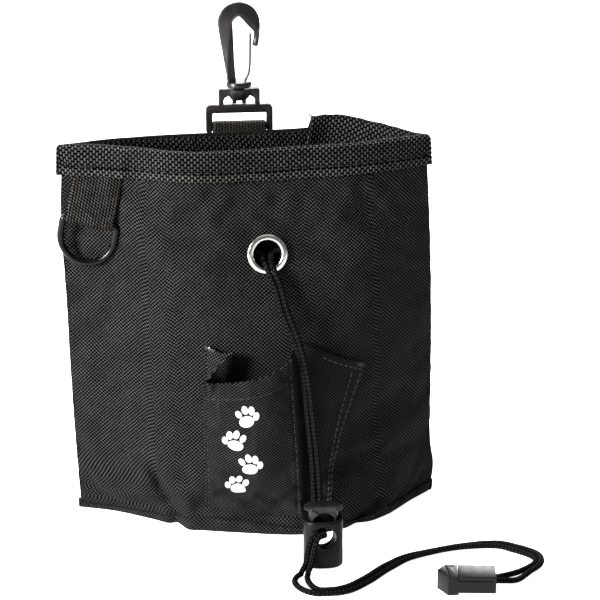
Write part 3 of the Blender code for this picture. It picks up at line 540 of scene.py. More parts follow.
class Shader:
    """A small builder for node materials. Lengths are in metres."""

    def __init__(self, name):
        self.material = bpy.data.materials.new(name)
        self.material.use_nodes = True
        self.tree = self.material.node_tree
        self.out = self.tree.nodes["Principled BSDF"]

    def node(self, kind, inputs=(), **settings):
        """A node with its settings, and with values or links in the named or numbered inputs."""
        made = self.tree.nodes.new(kind)
        for key, value in settings.items():
            setattr(made, key, value)
        for key, value in dict(inputs).items():
            self.feed(made.inputs[key], value)
        return made

    def feed(self, socket, value):
        if hasattr(value, "is_output"):
            self.tree.links.new(value, socket)
        else:
            socket.default_value = (*value, 1.0) if isinstance(value, tuple) and len(value) == 3 else value

    def math(self, operation, a, b=0.0, clamp=False):
        return self.node("ShaderNodeMath", {0: a, 1: b}, operation=operation, use_clamp=clamp).outputs[0]

    def mul(self, a, b, clamp=False):
        return self.math("MULTIPLY", a, b, clamp)

    def size(self, a):
        return self.math("ABSOLUTE", a)

    def ramp(self, value, low, high, to_low=0.0, to_high=1.0, kind="SMOOTHSTEP"):
        inputs = {"Value": value, "From Min": low, "From Max": high, "To Min": to_low, "To Max": to_high}
        return self.node("ShaderNodeMapRange", inputs, interpolation_type=kind).outputs["Result"]

    def mix_colour(self, factor, a, b, blend="MIX"):
        return self.node("ShaderNodeMix", data_type="RGBA", blend_type=blend,
                         inputs={"Factor": factor, 6: a, 7: b}).outputs[2]

    def noise(self, scale, detail):
        """Noise in the piece's own frame."""
        place = self.node("ShaderNodeTexCoord").outputs["Object"]
        inputs = {"Scale": scale, "Detail": detail, "Roughness": 0.5, "Vector": place}
        return self.node("ShaderNodeTexNoise", inputs).outputs["Fac"]

    def uv(self):
        place = self.node("ShaderNodeUVMap", uv_map="cloth").outputs["UV"]
        return self.node("ShaderNodeSeparateXYZ", {0: place}).outputs[:2]

    def bump(self, height, distance):
        inputs = {"Strength": 1.0, "Distance": distance, "Height": height}
        return self.node("ShaderNodeBump", inputs).outputs["Normal"]

    def set(self, colour, roughness, specular, normal=None, metallic=0.0):
        for name, value in (("Base Color", colour), ("Roughness", roughness), ("Metallic", metallic),
                            ("Specular IOR Level", specular), ("Normal", normal)):
            if value is not None:
                self.feed(self.out.inputs[name], value)
        return self.material


def plain_weave(name, thread, light, dark, depth, specular):
    """Plain-woven cloth: upright threads lie over level ones in a chessboard, and each lies rounded. The
    threads on top take the light colour as painted sheen, and each thread darkens towards its edges as
    painted shade between the threads.
    """
    s = Shader(name)
    turns = [s.mul(along, math.pi / size) for along, size in zip(s.uv(), thread)]
    parity = s.mul(s.math("SINE", turns[0]), s.math("SINE", turns[1]))
    over = s.ramp(parity, -0.22, 0.22)
    dome = s.math("POWER", s.size(parity), 0.45)
    wear, fleck = s.ramp(s.noise(140.0, 4.0), 0.3, 0.7, 0.82, 1.12), s.noise(2600.0, 2.0)
    shade = s.mul(wear, s.ramp(fleck, 0.25, 0.75, 0.65, 1.35))
    # Darker towards the edges of each thread: painted shade in the gaps between threads.
    lit = s.mul(shade, s.ramp(dome, 0.0, 0.9, 0.10, 1.08, "LINEAR"))
    tone = s.node("ShaderNodeCombineColor", {k: lit for k in range(3)}).outputs[0]
    # The threads on top get the light colour as painted sheen, the others the dark colour as painted shade.
    colour = s.mix_colour(1.0, s.mix_colour(over, grey(dark), grey(light)), tone, "MULTIPLY")
    height = s.math("ADD", s.mul(dome, 0.8), s.mul(over, 0.25))
    return s.set(colour, 0.62, s.mul(s.ramp(over, 0.0, 1.0, 0.08, 1.0), specular), s.bump(height, depth))


def tape_weave(name, thread, slant, specular, tint, lines=()):
    """Grosgrain tape: columns of short upright floats, each column half a float out of step. The floats are
    painted light and the gaps between them near black, as painted highlight and painted shade. Each line is
    where across the tape, how wide and how much lighter (or darker, below 1) the yarns are."""
    s = Shader(name)
    u, v = s.uv()
    a = s.math("DIVIDE", u, thread[0])
    across = s.size(s.math("SINE", s.mul(a, math.pi)))
    step = s.mul(s.math("FLOOR", a), 0.5)
    lean = s.mul(s.math("FRACT", a), slant)
    b = s.math("ADD", s.math("ADD", s.math("DIVIDE", v, thread[1]), step), lean)
    raised = s.ramp(s.math("COSINE", s.mul(b, 2 * math.pi)), -0.85, 0.35)
    dome = s.mul(s.math("POWER", across, 1.5), raised)
    fleck, wear = s.noise(1500.0, 2.0), s.noise(160.0, 3.0)
    lit = s.mul(dome, s.mul(s.ramp(fleck, 0.3, 0.7, 0.45, 1.55), s.ramp(wear, 0.3, 0.7, 0.8, 1.15)))
    for place, reach, gain in lines:
        lit = s.mul(lit, s.ramp(s.size(s.math("SUBTRACT", v, place)), 0.0, reach, gain, 1.0))
    # The floats' domes set the colour: painted highlight on each float, painted shade between them.
    colour = s.mix_colour(s.mul(lit, 0.5, clamp=True), grey(0.00005, tint), grey(0.072, tint))
    return s.set(colour, 0.55, s.mul(s.ramp(dome, 0.0, 0.7, 0.04, 1.0), specular), s.bump(dome, 0.00022))


def braid(name, pitch, carriers, light, dark):
    """Braided cord: two sets of strands wind opposite ways and pass over and under each other. The crowns of
    the strands are painted light and the grooves between them dark, as painted highlight and painted shade.
    """
    s = Shader(name)
    u, turn = s.uv()
    along = s.mul(u, 2 * math.pi / pitch)
    round_it = s.mul(turn, math.pi * carriers)
    one_way = s.math("SINE", s.math("ADD", round_it, along))
    other_way = s.math("SINE", s.math("SUBTRACT", round_it, along))
    cross = s.mul(one_way, other_way)
    dome = s.math("POWER", s.size(cross), 1.2)
    shade = s.mul(dome, s.ramp(s.noise(2200.0, 2.0), 0.25, 0.75, 0.5, 1.5), clamp=True)
    over = s.ramp(cross, -0.3, 0.3)
    lit = s.mul(shade, s.ramp(over, 0.0, 1.0, 0.35, 1.0), clamp=True)
    # Painted highlight on the strands' crowns and painted shade in the grooves, with random flecks.
    colour = s.mix_colour(lit, grey(dark, (1, 0.93, 0.9)), grey(light, (1, 0.95, 0.9)))
    return s.set(colour, 0.6, s.mul(lit, 0.06), s.bump(dome, 0.00028))


def sewing_thread(name, shade):
    s = Shader(name)
    twist = s.noise(4000.0, 1.0)
    return s.set(s.mix_colour(twist, grey(0.6, shade), grey(1.3, shade)), 0.55, 0.35, s.bump(twist, 0.00005))


def moulded(name, shade, roughness, gloss):
    """Moulded plastic: a faint grain, and patches that shine a little more or less."""
    s = Shader(name)
    grain, patches = s.bump(s.noise(5200.0, 3.0), 0.00002), s.noise(260.0, 3.0)
    colour = s.mix_colour(s.ramp(patches, 0.3, 0.7), grey(0.85, shade), grey(1.15, shade))
    return s.set(colour, s.ramp(patches, 0.3, 0.7, roughness - 0.05, roughness + 0.07), gloss, grain)


def plated(name, shade, roughness):
    """Bright metal with fine turning marks and slightly uneven polish."""
    s = Shader(name)
    marks = s.noise(900.0, 4.0)
    rough = s.ramp(marks, 0.3, 0.7, roughness * 0.8, roughness * 1.35)
    return s.set(s.mix_colour(marks, grey(0.93, shade), shade), rough, None, s.bump(marks, 0.00001), 1.0)


def print_ink(name):
    s = Shader(name)
    weave = s.noise(1500.0, 3.0)
    colour = s.mix_colour(s.ramp(weave, 0.3, 0.7), grey(0.42), grey(0.56))
    return s.set(colour, 0.6, 0.3, s.bump(weave, 0.00004))


# Where the rim tape's seam and fold lie across it.
TAPE_SEAM = BINDING_DROP - STITCH_DROP
TAPE_FOLD = BINDING_DROP + 0.0012

# For each cloth the light colour is painted sheen on the threads on top, and the dark colour is painted
# shade.
OUTER = plain_weave("oxford_cloth", (0.00092, 0.00083), 0.027, 0.0001, 0.00019, 0.07)
POCKET_CLOTH = plain_weave("pocket_cloth", (0.00090, 0.00066), 0.026, 0.0002, 0.00014, 0.06)
LINING = plain_weave("lining_cloth", (0.0006, 0.0006), 0.005, 0.002, 0.00006, 0.06)
# Along the seam the yarns are darkened to a tenth as painted shade in the seam's dent. Halfway from the lower
# edge to the seam they are lighter. Along the top of the fold they are much lighter as a painted highlight.
TAPE = tape_weave("rim_tape_weave", (0.00135, 0.00250), 0.0, 0.10, (1.0, 0.99, 0.95),
                  ((TAPE_SEAM, 0.0010, 0.1), (TAPE_SEAM / 2, 0.0030, 1.7), (TAPE_FOLD, 0.0014, 2.8)))
WEBBING = tape_weave("webbing_weave", (0.00130, 0.00130), 0.9, 0.08, (1.0, 0.93, 0.82))
# The cord's light and dark colours are painted highlight on the strands and painted shade in the grooves.
CORD = braid("braided_cord", 0.0036, 6, 0.0220, 0.0003)
THREAD = sewing_thread("sewing_thread", (0.011, 0.0105, 0.010))
# A lighter sewing thread, for the gusset's seams and the bar tacks.
LIGHTER_THREAD = sewing_thread("lighter_thread", (0.026, 0.025, 0.022))
PALE_THREAD = sewing_thread("frayed_yarn", (0.62, 0.60, 0.56))
HOOK_PLASTIC = moulded("hook_plastic", (0.0070, 0.0061, 0.0060), 0.33, 0.28)
LOCK_PLASTIC = moulded("lock_plastic", (0.0028, 0.0027, 0.0030), 0.32, 0.13)
# The button's plastic is a lighter copy of the barrel's black plastic, as a painted highlight on the cap.
BUTTON_PLASTIC = moulded("button_plastic", (0.0080, 0.0080, 0.0084), 0.30, 0.35)
CLIP_PLASTIC = moulded("clip_plastic", (0.0030, 0.0030, 0.0034), 0.34, 0.2)
RING_PLASTIC = moulded("ring_gloss", (0.0012, 0.0012, 0.0014), 0.12, 0.16)
NICKEL = plated("nickel", (0.62, 0.61, 0.59), 0.16)
STEEL = plated("spring_steel", (0.5, 0.5, 0.5), 0.28)
INK = print_ink("white_print")


# ---------------------------------------------------------------- cloth simulation
def drape(points, pins, wraps, slack, pressure, bending, cap):
    """Let a grid of cloth buckle and sag. pins is 0 to 1 for each point; slack is the share by which
    the cloth is longer than the form it was cut on. Returns the moved grid."""
    faces = cell_faces(*points.shape[:2], wrap_cols=wraps)
    obj = new_object("cloth_work", new_mesh("cloth_work", points.reshape(-1, 3), faces.tolist()))
    group = obj.vertex_groups.new(name="pin")
    for k, weight in enumerate(pins.ravel()):
        if weight > 0:
            group.add([k], float(weight), "REPLACE")
    cloth = obj.modifiers.new("cloth", "CLOTH")
    settings = cloth.settings
    settings.quality = 6
    settings.mass = 0.25
    settings.tension_stiffness = settings.compression_stiffness = 18
    settings.shear_stiffness = 6
    settings.bending_stiffness = bending
    settings.air_damping = 2
    settings.shrink_min = -slack
    settings.vertex_group_mass = "pin"
    settings.use_pressure = True
    settings.uniform_pressure_force = pressure
    settings.effector_weights.gravity = 0
    cloth.collision_settings.use_collision = False
    cloth.point_cache.frame_start, cloth.point_cache.frame_end = 1, CLOTH_FRAMES
    scene = bpy.context.scene
    for number in range(1, CLOTH_FRAMES + 1):
        scene.frame_set(number)
    moved = obj.evaluated_get(bpy.context.evaluated_depsgraph_get()).to_mesh()
    co = np.zeros(points.size)
    moved.vertices.foreach_get("co", co)
    bpy.data.objects.remove(obj, do_unlink=True)
    scene.frame_set(1)
    shift = co.reshape(points.shape) - points
    length = np.linalg.norm(shift, axis=2, keepdims=True)
    return points + shift * np.minimum(1.0, cap / np.maximum(length, 1e-9))


def sag_the_wall():
    """Buckle the wall between the rim tape and the base seam."""
    zs = np.linspace(0, RIM_HEIGHT, CLOTH_ROWS + 1)
    rest = np.stack([plain_ring(z, 0.0, CLOTH_COLUMNS) for z in zs])
    height = zs[:, None]
    held = smoothstep((height - 0.146) / 0.012) + smoothstep((0.008 - height) / 0.006)
    pins = np.broadcast_to(held, rest.shape[:2]).copy()
    half = CLOTH_COLUMNS + 1
    pins[:, [0, half - 1, half, 2 * half - 1]] = 1.0
    near = np.hypot(rest[:, :half, 0] - EYELET.x, rest[:, :half, 2] - EYELET.z)
    pins[:, :half] = np.maximum(pins[:, :half], smoothstep((0.013 - near) / 0.005))
    SAG[:] = drape(rest, np.clip(pins, 0, 1), True, 0.012, 0.6, 0.35, CLOTH_CAP) - rest


EYELET = sum(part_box("eyelet_flange"), Vector()) / 2
sag_the_wall()


# ---------------------------------------------------------------- the pouch wall and its tapes
def eyelet_frame():
    """The eyelet's own frame: +Z points out of the front wall."""
    x, z, reach = EYELET.x, EYELET.z, 0.008
    low, middle, high = front_at([x, x, x], [z - reach, z, z + reach])
    left, right = front_at([x - reach, x + reach], [z, z])
    outward = Vector(unit(np.cross(right - left, high - low)))
    return Matrix.Translation(Vector(middle)) @ outward.to_track_quat("Z", "X").to_matrix().to_4x4()


def cut_eyelet_hole(obj, radius):
    """Cut the eyelet's hole, through the front only."""
    mesh = bpy.data.meshes.new("hole")
    bm = bmesh.new()
    bmesh.ops.create_cone(bm, cap_ends=True, segments=48, radius1=radius, radius2=radius, depth=0.016,
                          matrix=eyelet_frame())
    bm.to_mesh(mesh)
    bm.free()
    cut(obj, new_object("hole", mesh))


def wall_band(name, profile, mat, columns=WALL_COLUMNS, shape=None):
    """A closed band round the pouch: a profile of (inset, z), and its cloth coordinates."""
    rings = []
    for inset, z in profile:
        points = ring(z, inset, columns)
        rings.append(points if shape is None else shape(points, inset, z))
    points = np.stack(rings)
    around = np.concatenate([points, points[:, :1]], 1)
    uv = grid_uv(np.concatenate([around, around[:1]], 0))
    uv[..., 0] -= uv[:, [columns // 2], 0]
    return grid_object(name, points, mat, uv, wrap_rows=True, wrap_cols=True, smooth_angle=60)


def make_wall_cloths():
    """The outer shell and the lining, each with the eyelet's hole through its front."""
    for name, mat, out, thick, low, top, rows, columns, slot, node in (
            ("shell_cloth", OUTER, 0.0, SHELL_T, 0.0010, RIM_HEIGHT - TAPE_T - GAP, WALL_ROWS, WALL_COLUMNS,
             "outer_fabric", "outer_shell"),
            ("lining_cloth_wall", LINING, SHELL_T + GAP, LINING_T, 0.0024, RIM_HEIGHT - BINDING_DROP + 0.002,
             WALL_ROWS // 2, 90, "lining_fabric", "lining_wall")):
        profile = [(out, z) for z in np.linspace(low, top, rows)]
        profile += [(out + thick, z) for z in np.linspace(top, low, WALL_ROWS // 2)]
        cloth = wall_band(name, profile, mat, columns)
        cut_eyelet_hole(cloth, 0.0068)
        put(cloth, "pouch", slot, node)


def make_floor_cloths():
    """The base panel, and the lining's floor, a little puffed and creased."""
    for name, mat, inset, low, thick, puff, slot, node in (
            ("base_cloth", OUTER, SHELL_T + GAP, 0.0003, 0.0012, 0.0, "outer_fabric", "base_panel"),
            ("lining_floor", LINING, SHELL_T + 2 * GAP + LINING_T, 0.0020, 0.0007, 0.0012, "lining_fabric",
             "lining_base")):
        edge = ring(low, inset, 60)
        half = len(edge) // 2
        share = np.linspace(0, 1, 22)[:, None, None]
        top = mix(edge[None, :half], edge[None, half:][:, ::-1], share)
        lift = puff * np.sin(np.pi * share[..., 0]) * (1 + 0.5 * wobble(top[..., 0] * 18, 3))
        top[..., 2] = low + thick + np.maximum(0, lift)
        put(cloth_sheet(name, top[:, ::-1], thick, mat), "pouch", slot, node)


def sew(name, path, body, slot, length, gap, radius, mat=THREAD, out=(0, -1, 0), spacing=0.0008):
    """Sewing thread along a path: rounded stitches that dive into the cloth at both ends."""
    path = np.asarray(path, float)
    if spacing:
        path = resample(path, spacing)
    count = max(1, int((lengths(path)[-1] - gap) / (length + gap)))
    t, out = np.linspace(0, 1, 7), np.asarray(out, float)
    arch = np.sin(np.pi * t)
    size = radius * (0.35 + 0.65 * arch ** 0.4)
    rise = out * (radius * (0.2 + 1.1 * arch ** 0.5) - 0.0001)[:, None]
    faces = cell_faces(7, 8, wrap_cols=True).tolist() + [list(range(7, -1, -1)), list(range(48, 56))]
    verts, all_faces = [], []
    for k in range(count):
        line = follow(path, k * (length + gap) + gap / 2 + t * length) + rise
        side = unit(np.cross(unit(np.gradient(line, axis=0)), out))
        verts.append(rings_round(line, size, side, out, 8).reshape(-1, 3))
        all_faces += [[k * 56 + corner for corner in face] for face in faces]
    put(finished(new_mesh(name, np.vstack(verts), all_faces), mat, 80), body, slot)


TAPE_OUTSET = -GAP - TAPE_T
TAPE_INSET = SHELL_T + GAP


def tape_profile(low, top, out, inset, steps):
    """Section of a tape folded over the rim: down outside, round the fold and down inside."""
    back = inset + TAPE_T
    radius, middle = (back - out) / 2, (back + out) / 2
    turn = top - radius
    outer = [(out - 0.0002 * math.sin(3000 * z), z) for z in np.linspace(low, turn, steps)]
    inner = [(back, z) for z in np.linspace(turn, low, steps)]
    hidden = [(inset, low), (inset, turn), (middle, top - TAPE_T), (out + TAPE_T, turn), (out + TAPE_T, low)]
    return outer + arc((middle, turn), radius, 157.5, 22.5, 7) + inner + hidden


TAB_X = -0.0687
TAB_LIFT = 0.0022


def make_rim_tape():
    """The folded tape over the rim, dented by its seam, with a slightly wavy lower edge."""
    low, top, seam = RIM_HEIGHT - BINDING_DROP, RIM_HEIGHT, RIM_HEIGHT - STITCH_DROP

    def shape(points, inset, z):
        along, outward = ring_sides(points)
        share = np.clip((z - low) / (top - low), 0, 1)
        points[:, 2] += wobble(along, 11, 9, 2) * 0.00035 * (1 - share)
        points[:, 2] += wobble(along, 12, 7, 2) * 0.00030 * share
        if inset < 0:
            points[:, 1] -= outward * (0.0007 * bell(z, seam, 0.0010) - 0.0003 * wobble(along * 3, 13))
        beside_tab = smoothstep((0.0150 - np.abs(points[:, 0] - TAB_X)) / 0.0050) * (outward < 0)
        points[:, 1] -= beside_tab * smoothstep((top - z) / 0.0080) * TAB_LIFT
        return points

    tape = wall_band("rim_tape", tape_profile(low, top, TAPE_OUTSET, TAPE_INSET, 17), TAPE, 170, shape)
    put(tape, "pouch", "binding_tape", "rim_binding")
    seam_ring = ring(seam, TAPE_OUTSET + 0.0004, 170)
    half = len(seam_ring) // 2
    for name, part, way in (("rim_seam_front", seam_ring[2:half - 2], -1),
                            ("rim_seam_back", seam_ring[half + 2:-2], 1)):
        sew(name, part, "pouch", "binding_tape", 0.0031, 0.0008, 0.00022, out=(0, way, 0), spacing=0.001)


OVERLAP_START = 0.0285
OVERLAP_RISE = 0.0052


def make_overlap():
    """The end of the rim tape that laps over its start at the back right, cut off on a slant. It
    stands highest at its cut end."""
    low, top = RIM_HEIGHT - BINDING_DROP - 0.0006, RIM_HEIGHT
    tip = wall_tip(1.0, TAPE_OUTSET, 1)
    pick = np.linspace(0, 1, 60)
    rings = []
    for inset, z in tape_profile(low, top, TAPE_OUTSET - 0.0008, TAPE_INSET + TAPE_T - 0.0006, 13):
        order = ring(z, inset, 170)[171:][::-1]
        share = np.clip((z - low) / (top - low), 0, 1)
        start = OVERLAP_START - 0.0045 * (1 - share)
        x = mix(start, tip - 0.0006, pick)
        line = np.stack([np.interp(x, order[:, 0], order[:, k]) for k in range(3)], -1)
        rise = OVERLAP_RISE * smoothstep(np.clip((tip - x) / (tip - OVERLAP_START), 0, 1) / 0.8)
        line[:, 2] += rise * (0.35 + 0.65 * share) + wobble(pick * 2, 21) * 0.0003
        line[:, 1] -= bell(x, start, 0.006) * 0.0010 * (1 if inset > 0 else 0.2)
        rings.append(line)
    points = np.stack(rings)
    uv = grid_uv(np.concatenate([points, points[:1]], 0))
    tape = grid_object("rim_tape_overlap", points, TAPE, uv, wrap_rows=True, smooth_angle=60)
    bm = bmesh.new()
    bm.from_mesh(tape.data)
    bmesh.ops.holes_fill(bm, edges=[e for e in bm.edges if e.is_boundary], sides=0)
    bmesh.ops.recalc_face_normals(bm, faces=bm.faces)
    bm.to_mesh(tape.data)
    bm.free()
    put(tape, "pouch", "binding_tape")
    fray(points[:len(points) // 2 + 3, 0])


def fray(cut_edge):
    """Loose yarns along the tape's cut end."""
    rng = np.random.default_rng(5)
    hairs = []
    for k in range(16):
        root = cut_edge[rng.integers(8, len(cut_edge) - 4)]
        lean = np.array([-0.9 - rng.random(), rng.normal() * 0.5, rng.normal() * 0.7 + 0.5])
        reach = unit(lean) * (0.0012 + 0.0018 * rng.random())
        fall = np.array([0, 0, -0.0006 * rng.random()])
        path = smooth_path([root + (0.0005, 0, 0), root + reach * 0.5, root + reach + fall], 0.0003)
        hairs.append(tube(f"hair_{k}", path, 0.00013, THREAD if k % 3 else PALE_THREAD, 6))
    put(joined("frayed_yarns", hairs), "pouch", "binding_tape")


BASE_STRIP_TOP = ((-0.086, 0.0026), (-0.060, 0.0026), (-0.042, 0.0042), (-0.025, 0.0070), (-0.006, 0.0062),
                  (0.016, 0.0036), (0.040, 0.0022), (0.050, 0.0024), (0.058, 0.0040), (0.074, 0.0048),
                  (0.086, 0.0072))


def make_base_strip():
    """The base cloth's turned-up edge, sewn to the foot of the wall."""
    def shape(points, inset, z):
        along, outward = ring_sides(points)
        top = spline(BASE_STRIP_TOP, np.clip(points[:, 0], -0.085, 0.085))
        top = np.where(outward < 0, top, BASE_STRIP) + wobble(along, 31, 8, 3) * 0.00025
        points[:, 2] = np.maximum(0.0003, z / BASE_STRIP * top)
        if inset < 0:
            belly = 0.0007 * np.sin(np.pi * np.clip(z / BASE_STRIP, 0, 1)) * (1 + 0.6 * wobble(along * 2, 32))
            points[:, 1] += outward * belly
            tuck = smoothstep((np.abs(points[:, 0]) - 0.079) / 0.006)
            points[:, 0] -= np.sign(points[:, 0]) * 0.0007 * tuck
        return points

    out, soft = -GAP - 0.0009, 0.0006
    profile = [(out + soft, 0.0), (out + 0.1 * soft, 0.0006)]
    profile += [(out, z) for z in np.linspace(0.0010, 0.0034, 6)]
    profile += [(out + 0.2 * soft, 0.0039), (out + soft, BASE_STRIP), (-0.0001, BASE_STRIP), (-0.0001, 0.0)]
    put(wall_band("base_edge", profile, OUTER, 150, shape), "pouch", "binding_tape", "base_binding")
    middle = np.linspace(-0.078, 0.078, 240)
    path = front_at(middle, spline(BASE_STRIP_TOP, middle) * 0.80, GAP + 0.0011)
    sew("base_seam", path, "pouch", "binding_tape", 0.0028, 0.0008, 0.00018, spacing=None)


# ---------------------------------------------------------------- eyelet, channel and cord
CORD_R = 0.00126
STRAND_OFFSET = 0.00130
CORD_SPACING = 0.0006
CORD_LOW = CORD_R + 0.0001

LOCK_LOW, LOCK_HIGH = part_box("cord_lock_barrel")
LOCK_WIDTH, LOCK_DEPTH, LOCK_HEIGHT = LOCK_HIGH.x - LOCK_LOW.x, LOCK_HIGH.y - LOCK_LOW.y, LOCK_HIGH.z
LOCK = Vector(((LOCK_LOW.x + LOCK_HIGH.x) / 2, (LOCK_LOW.y + LOCK_HIGH.y) / 2, 0))
CORD_PASS_Z = sum(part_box("drawcord_in_lock"), Vector()).z / 2
PASS_X = LOCK.x - 0.0015

BASE_LOW, BASE_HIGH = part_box("cord_end_base")
CLIP_LENGTH = 0.0245
CLIP_DEPTH = 0.0115
CLIP_HEIGHT = 0.0086
LID_T = 0.0020
LID_START = 0.0085
CLIP_CENTRE = Vector(((BASE_LOW.x + BASE_HIGH.x) / 2, (BASE_LOW.y + BASE_HIGH.y) / 2, 0))
# The clip's own frame: local X along it towards the cord's entry.
CLIP_FRAME = Matrix.Translation(CLIP_CENTRE) @ Matrix.Rotation(math.radians(-8), 4, "Z")


def make_eyelet():
    """Rolled flange and barrel in front, flat washer clinched behind."""
    place = eyelet_frame()
    hole, outer, depth = 0.0060, 0.0090, 0.0042
    profile = [(hole, -depth), (hole, GAP)]
    profile += arc((hole + 0.0012, GAP + 0.0002), 0.0012, 180, 90, 7)
    profile += arc((outer - 0.0011, GAP + 0.0002), 0.0011, 80, 0, 7)
    profile += [(outer, GAP - 0.0001), (outer - 0.0005, 0.0), (hole + 0.0005, 0.0), (hole + 0.0005, -depth)]
    put(lathe("eyelet", profile, place, NICKEL), "pouch", "eyelet_metal", "eyelet_flange")
    back = -(SHELL_T + GAP + LINING_T) - 0.0008
    washer = [(hole + 0.0007, back), (outer - 0.0010, back), (outer - 0.0008, back - 0.0003),
              (outer - 0.0014, back - 0.0007), (hole + 0.0012, back - 0.0008), (hole + 0.0007, back - 0.0005)]
    put(lathe("eyelet_back_washer", washer, place, NICKEL), "pouch", "eyelet_metal", "eyelet_washer")


def make_channel():
    """The casing for the drawcord, sewn to the lining, softly gathered."""
    half, crown = 0.0120, 0.0076
    edge = SHELL_T + 2 * GAP + LINING_T + 0.0002
    section = []
    for steps, thick in ((np.linspace(-1, 1, 13), LINING_T), (np.linspace(1, -1, 9), 0.0)):
        for share in steps:
            lift = math.cos(share * math.pi / 2) ** 0.6 if abs(share) < 1 else 0.0
            section.append((mix(edge, crown, lift) + thick, EYELET.z + share * half))

    def shape(points, inset, z):
        along, outward = ring_sides(points)
        pucker = 0.0004 * np.sin(2 * np.pi * 46 * along + 2 * wobble(along, 41))
        points[:, 1] -= outward * pucker * (inset - edge) / (crown - edge)
        return points

    casing = wall_band("drawcord_casing", section, LINING, 120, shape)
    cut_eyelet_hole(casing, 0.0066)
    put(casing, "pouch", "lining_fabric", "cord_channel")


def make_loop():
    """The drawcord's own loop inside the casing, with both ends brought to the eyelet."""
    x, z = EYELET.x, EYELET.z
    around = ring(z, 0.0060, 40)
    half = len(around) // 2
    clear = 0.009
    mouth = front_at(x, z)[1]
    right = [p for p in around[:half] if p[0] > x + clear]
    left = [p for p in around[:half] if p[0] < x - clear]
    start = [(x + 0.0017, mouth - 0.0014, z - 0.0031), (x + 0.0020, mouth + 0.0030, z - 0.0014),
             (x + 0.0044, mouth + 0.0052, z)]
    finish = [(2 * x - here, y, height) for here, y, height in reversed(start)]
    middle = [(p[0], p[1], z) for p in right[:-5] + list(around[half + 5:-6]) + left[5:]]
    loop = tube("drawcord_inside", smooth_path(start + middle + finish, 0.0012), CORD_R, CORD, 10)
    put(loop, "pouch", "cord", "drawcord_loop")


def strands(name, path, start, twist=((0, 1), (0, 0))):
    """Two braided cords lying side by side along a path, turned round it by (places, degrees)."""
    tangent = unit(np.gradient(path, axis=0))
    across = unit((1, 0, 0) - tangent * tangent[:, :1])
    over = np.cross(tangent, across)
    share = lengths(path) / lengths(path)[-1]
    turn = np.radians(np.interp(share, *twist))[:, None]
    made = []
    for sign, letter in ((1, "a"), (-1, "b")):
        offset = (np.cos(turn) * across + np.sin(turn) * over) * STRAND_OFFSET * sign
        radius = CORD_R * (1 + 0.035 * wobble(share * 3, 7 + sign))
        made.append(tube(f"{name}_{letter}", path + offset, radius, CORD, 18, over[0], start))
    return made


def make_cord():
    """The twin cord: from the eyelet to the lock, through it, and on to the clip."""
    x, z, mouth = EYELET.x, EYELET.z, front_at(EYELET.x, EYELET.z)[1]
    back, front = LOCK_HIGH.y, LOCK_LOW.y
    upper = [(x, mouth + 0.0030, z - 0.0034), (x, mouth - 0.0002, z - 0.0034),
             (x + 0.0006, mouth - 0.0034, z - 0.0046), (x + 0.0020, mouth - 0.0058, z - 0.0080),
             (x + 0.0040, mouth - 0.0072, z - 0.0130), (0.0104, -0.0335, 0.1030), (0.0156, -0.0375, 0.0890),
             (0.0186, -0.0430, 0.0745), (0.0200, -0.0490, 0.0580), (0.0212, -0.0545, 0.0410),
             (0.0216, -0.0590, 0.0275), (PASS_X, back + 0.0032, CORD_PASS_Z + 0.0024),
             (PASS_X, back + 0.0014, CORD_PASS_Z + 0.0002), (PASS_X, back + 0.0006, CORD_PASS_Z)]
    upper = smooth_path(upper, CORD_SPACING)
    inside = np.array([(PASS_X, back + 0.0006, CORD_PASS_Z), (PASS_X, front - 0.0006, CORD_PASS_Z)])
    inside = resample(inside, CORD_SPACING)
    run = strands("cord_upper", upper, 0.0, ((0, 0.2, 0.45, 0.7, 1), (0, 30, 55, 25, 0)))
    for piece in run:
        bend(piece, ("pouch", "cord_lock"), (x, -0.030, z - 0.004), (LOCK.x, back, CORD_PASS_Z), "cord")
    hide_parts("drawcord_upper")
    start = lengths(upper)[-1]
    run = strands("cord_in_lock", inside, start)
    for piece in run:
        put(piece, "cord_lock", "cord")
    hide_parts("drawcord_in_lock")
    make_free_cord(start + lengths(inside)[-1])


# Where each strand hangs, as (X from the lock's middle, Y from its mouth, Z), and then lies at (X, Y).
HANG_A = ((-0.0030, -0.0017, CORD_PASS_Z - 0.0002), (-0.0047, -0.0030, CORD_PASS_Z - 0.0032),
          (-0.0058, -0.0034, 0.0080), (-0.0066, -0.0038, 0.0044), (-0.0080, -0.0056, CORD_LOW + 0.0009))
HANG_B = ((-0.0057, -0.0014, CORD_PASS_Z - 0.0003), (-0.0070, -0.0017, CORD_PASS_Z - 0.0034),
          (-0.0079, -0.0015, 0.0080), (-0.0087, -0.0023, 0.0046), (-0.0108, -0.0052, CORD_LOW + 0.0009))
LIE_A = ((0.0139, -0.0876), (0.0139, -0.0915), (0.0147, -0.0954), (0.0161, -0.0986), (0.0186, -0.1006))
LIE_B = ((0.0094, -0.0870), (0.0081, -0.0911), (0.0088, -0.0954), (0.0104, -0.0987), (0.0130, -0.1015),
         (0.0168, -0.1034))
TOGETHER = ((0.0230, -0.1026), (0.0310, -0.0996), (0.0400, -0.0920), (0.0492, -0.0818), (0.0584, -0.0739),
            (0.0710, -0.0693), (0.0837, -0.0657), (0.0997, -0.0646), (0.1085, -0.0705), (0.1150, -0.0780),
            (0.1150, -0.0845), (0.1095, -0.0905), (0.1010, -0.0970))


